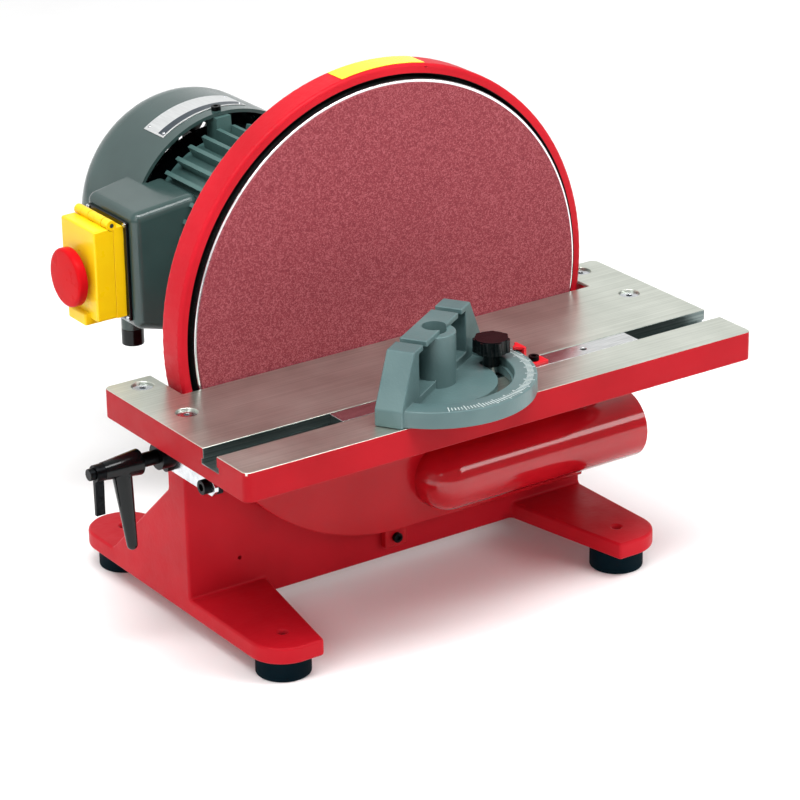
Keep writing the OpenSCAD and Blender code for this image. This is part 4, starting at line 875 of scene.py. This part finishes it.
# %% Grow the marks
def grown_marks(name, body, values):
    grower = bpy.data.objects.new(name + "_grower", bpy.data.meshes.new(name + "_grower"))
    scene.collection.objects.link(grower)
    modifier = grower.modifiers.new("marks", "NODES")
    modifier.node_group = marks_tree
    for socket in marks_tree.interface.items_tree:
        if socket.in_out == "INPUT":
            modifier[socket.identifier] = values[socket.name]
    bpy.context.view_layer.update()
    mesh = bpy.data.meshes.new_from_object(grower.evaluated_get(bpy.context.evaluated_depsgraph_get()))
    bpy.data.objects.remove(grower)
    mesh.name = name
    piece = bpy.data.objects.new(name, mesh)
    scene.collection.objects.link(piece)
    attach(piece, body)
    print(name, "faces:", len(mesh.polygons))

# %% [markdown]
# The mitre gauge carries a scale of angles on its ring. The marks are pale paint in shallow cuts, one for
# every two degrees and a longer one for every ten, and they turn with the head.

# %% Scale on the mitre gauge
coated("scale_paint", (206, 214, 212), (226, 232, 230), (0.5, 0.6), 900, 0.00002, shine=0.2)
pivot_across = -30
ring_top = 190.3
ring_middle = place(pivot_across, slot_behind_face, ring_top)
grown_marks("mitre_scale", body_of(frame["nodes"]["mitre_head"])[0], {
    "Count": 61, "Rows": 1, "First Angle": math.radians(-117), "Step Angle": math.radians(2),
    "Radius": 0.0615, "Row Spacing": 0.0, "Size": (0.0042, 0.0004, 0.00016),
    "Long Every": 5, "Long Share": 0.75, "Round": False,
    "Turn": (0.0, 0.0, 0.0), "Centre": ring_middle, "Finish": finishes["scale_paint"],
})

# %% [markdown]
# Four small domed rivets hold the rating plate. The same tree makes them, with round marks and two rows,
# turned so that its axis lies along the motor.

# %% Rivets of the rating plate
plate_radius = 0.0826
rivet_inset = 0.0032
rivet_angle = math.asin(rivet_inset / plate_radius)
first_rivet = plate_first_angle + rivet_angle
last_rivet = plate_last_angle - rivet_angle
motor_axis = Vector((spindle.x, plate_high.y - rivet_inset, spindle.z))
grown_marks("plate_rivets", body_of(frame["nodes"]["rating_plate"])[0], {
    "Count": 2, "Rows": 2, "First Angle": first_rivet, "Step Angle": last_rivet - first_rivet,
    "Radius": plate_radius, "Row Spacing": plate_high.y - plate_low.y - 2 * rivet_inset,
    "Size": (0.0014, 0.0026, 0.0026), "Long Every": 9, "Long Share": 0.0, "Round": True,
    "Turn": (math.radians(90), 0.0, 0.0), "Centre": motor_axis, "Finish": finishes["zinc"],
})

# %% [markdown]
# A yellow strip lies on top of the guard. It is a thin film on a round surface, so it is bent from the
# start: each cross section has four corners, two close to the guard and two 0.3 mm above them.

# %% Yellow strip on the guard
coated("strip_film", (238, 214, 24), (246, 224, 34), (0.24, 0.32), 700, 0.00002, shine=0.3)
under_film = 162.05
over_film = under_film + 0.3
strip_front = 7.4
strip_back = 24.6
strip_start = 78
strip_sweep = 23
strip_steps = 40
section = [
    (under_film, strip_front),
    (over_film, strip_front),
    (over_film, strip_back),
    (under_film, strip_back),
]
strip_verts = []
for step in range(strip_steps + 1):
    angle = math.radians(strip_start + strip_sweep * step / strip_steps)
    for radius, behind in section:
        height = 1000 * spindle.z + radius * math.sin(angle)
        strip_verts.append(place(radius * math.cos(angle), behind, height))
strip_faces = []
for step in range(strip_steps):
    near = 4 * step
    far = near + 4
    for side in range(4):
        after = (side + 1) % 4
        strip_faces.append((near + side, near + after, far + after, far + side))
strip_faces.append((3, 2, 1, 0))
strip_faces.append(tuple(4 * strip_steps + side for side in range(4)))
strip_mesh = bpy.data.meshes.new("guard_strip")
strip_mesh.from_pydata(strip_verts, [], strip_faces)
strip_shape = bmesh.new()
strip_shape.from_mesh(strip_mesh)
bmesh.ops.recalc_face_normals(strip_shape, faces=strip_shape.faces)
strip_shape.to_mesh(strip_mesh)
strip_shape.free()
strip_mesh.materials.append(finishes["strip_film"])
strip = bpy.data.objects.new("guard_strip", strip_mesh)
scene.collection.objects.link(strip)
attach(strip, body_of(frame["nodes"]["base_casting"])[0])
print("strip faces:", len(strip_mesh.polygons))

# %% [markdown]
# The floor is a plain pale sheet, far larger than the picture, so its edge is never seen from the
# catalogue camera.

# %% Floor
floor_mesh = bpy.data.meshes.new("floor")
reach = 8
floor_mesh.from_pydata(
    [(-reach, -reach, 0), (reach, -reach, 0), (reach, reach, 0), (-reach, reach, 0)], [], [(0, 1, 2, 3)])
floor = bpy.data.objects.new("floor", floor_mesh)
scene.collection.objects.link(floor)
coated("pale_floor", (252, 252, 252), (254, 254, 254), (0.7, 0.8), 200, 0.00001, shine=0.1)
floor_mesh.materials.append(finishes["pale_floor"])
print("floor side in m:", 2 * reach)
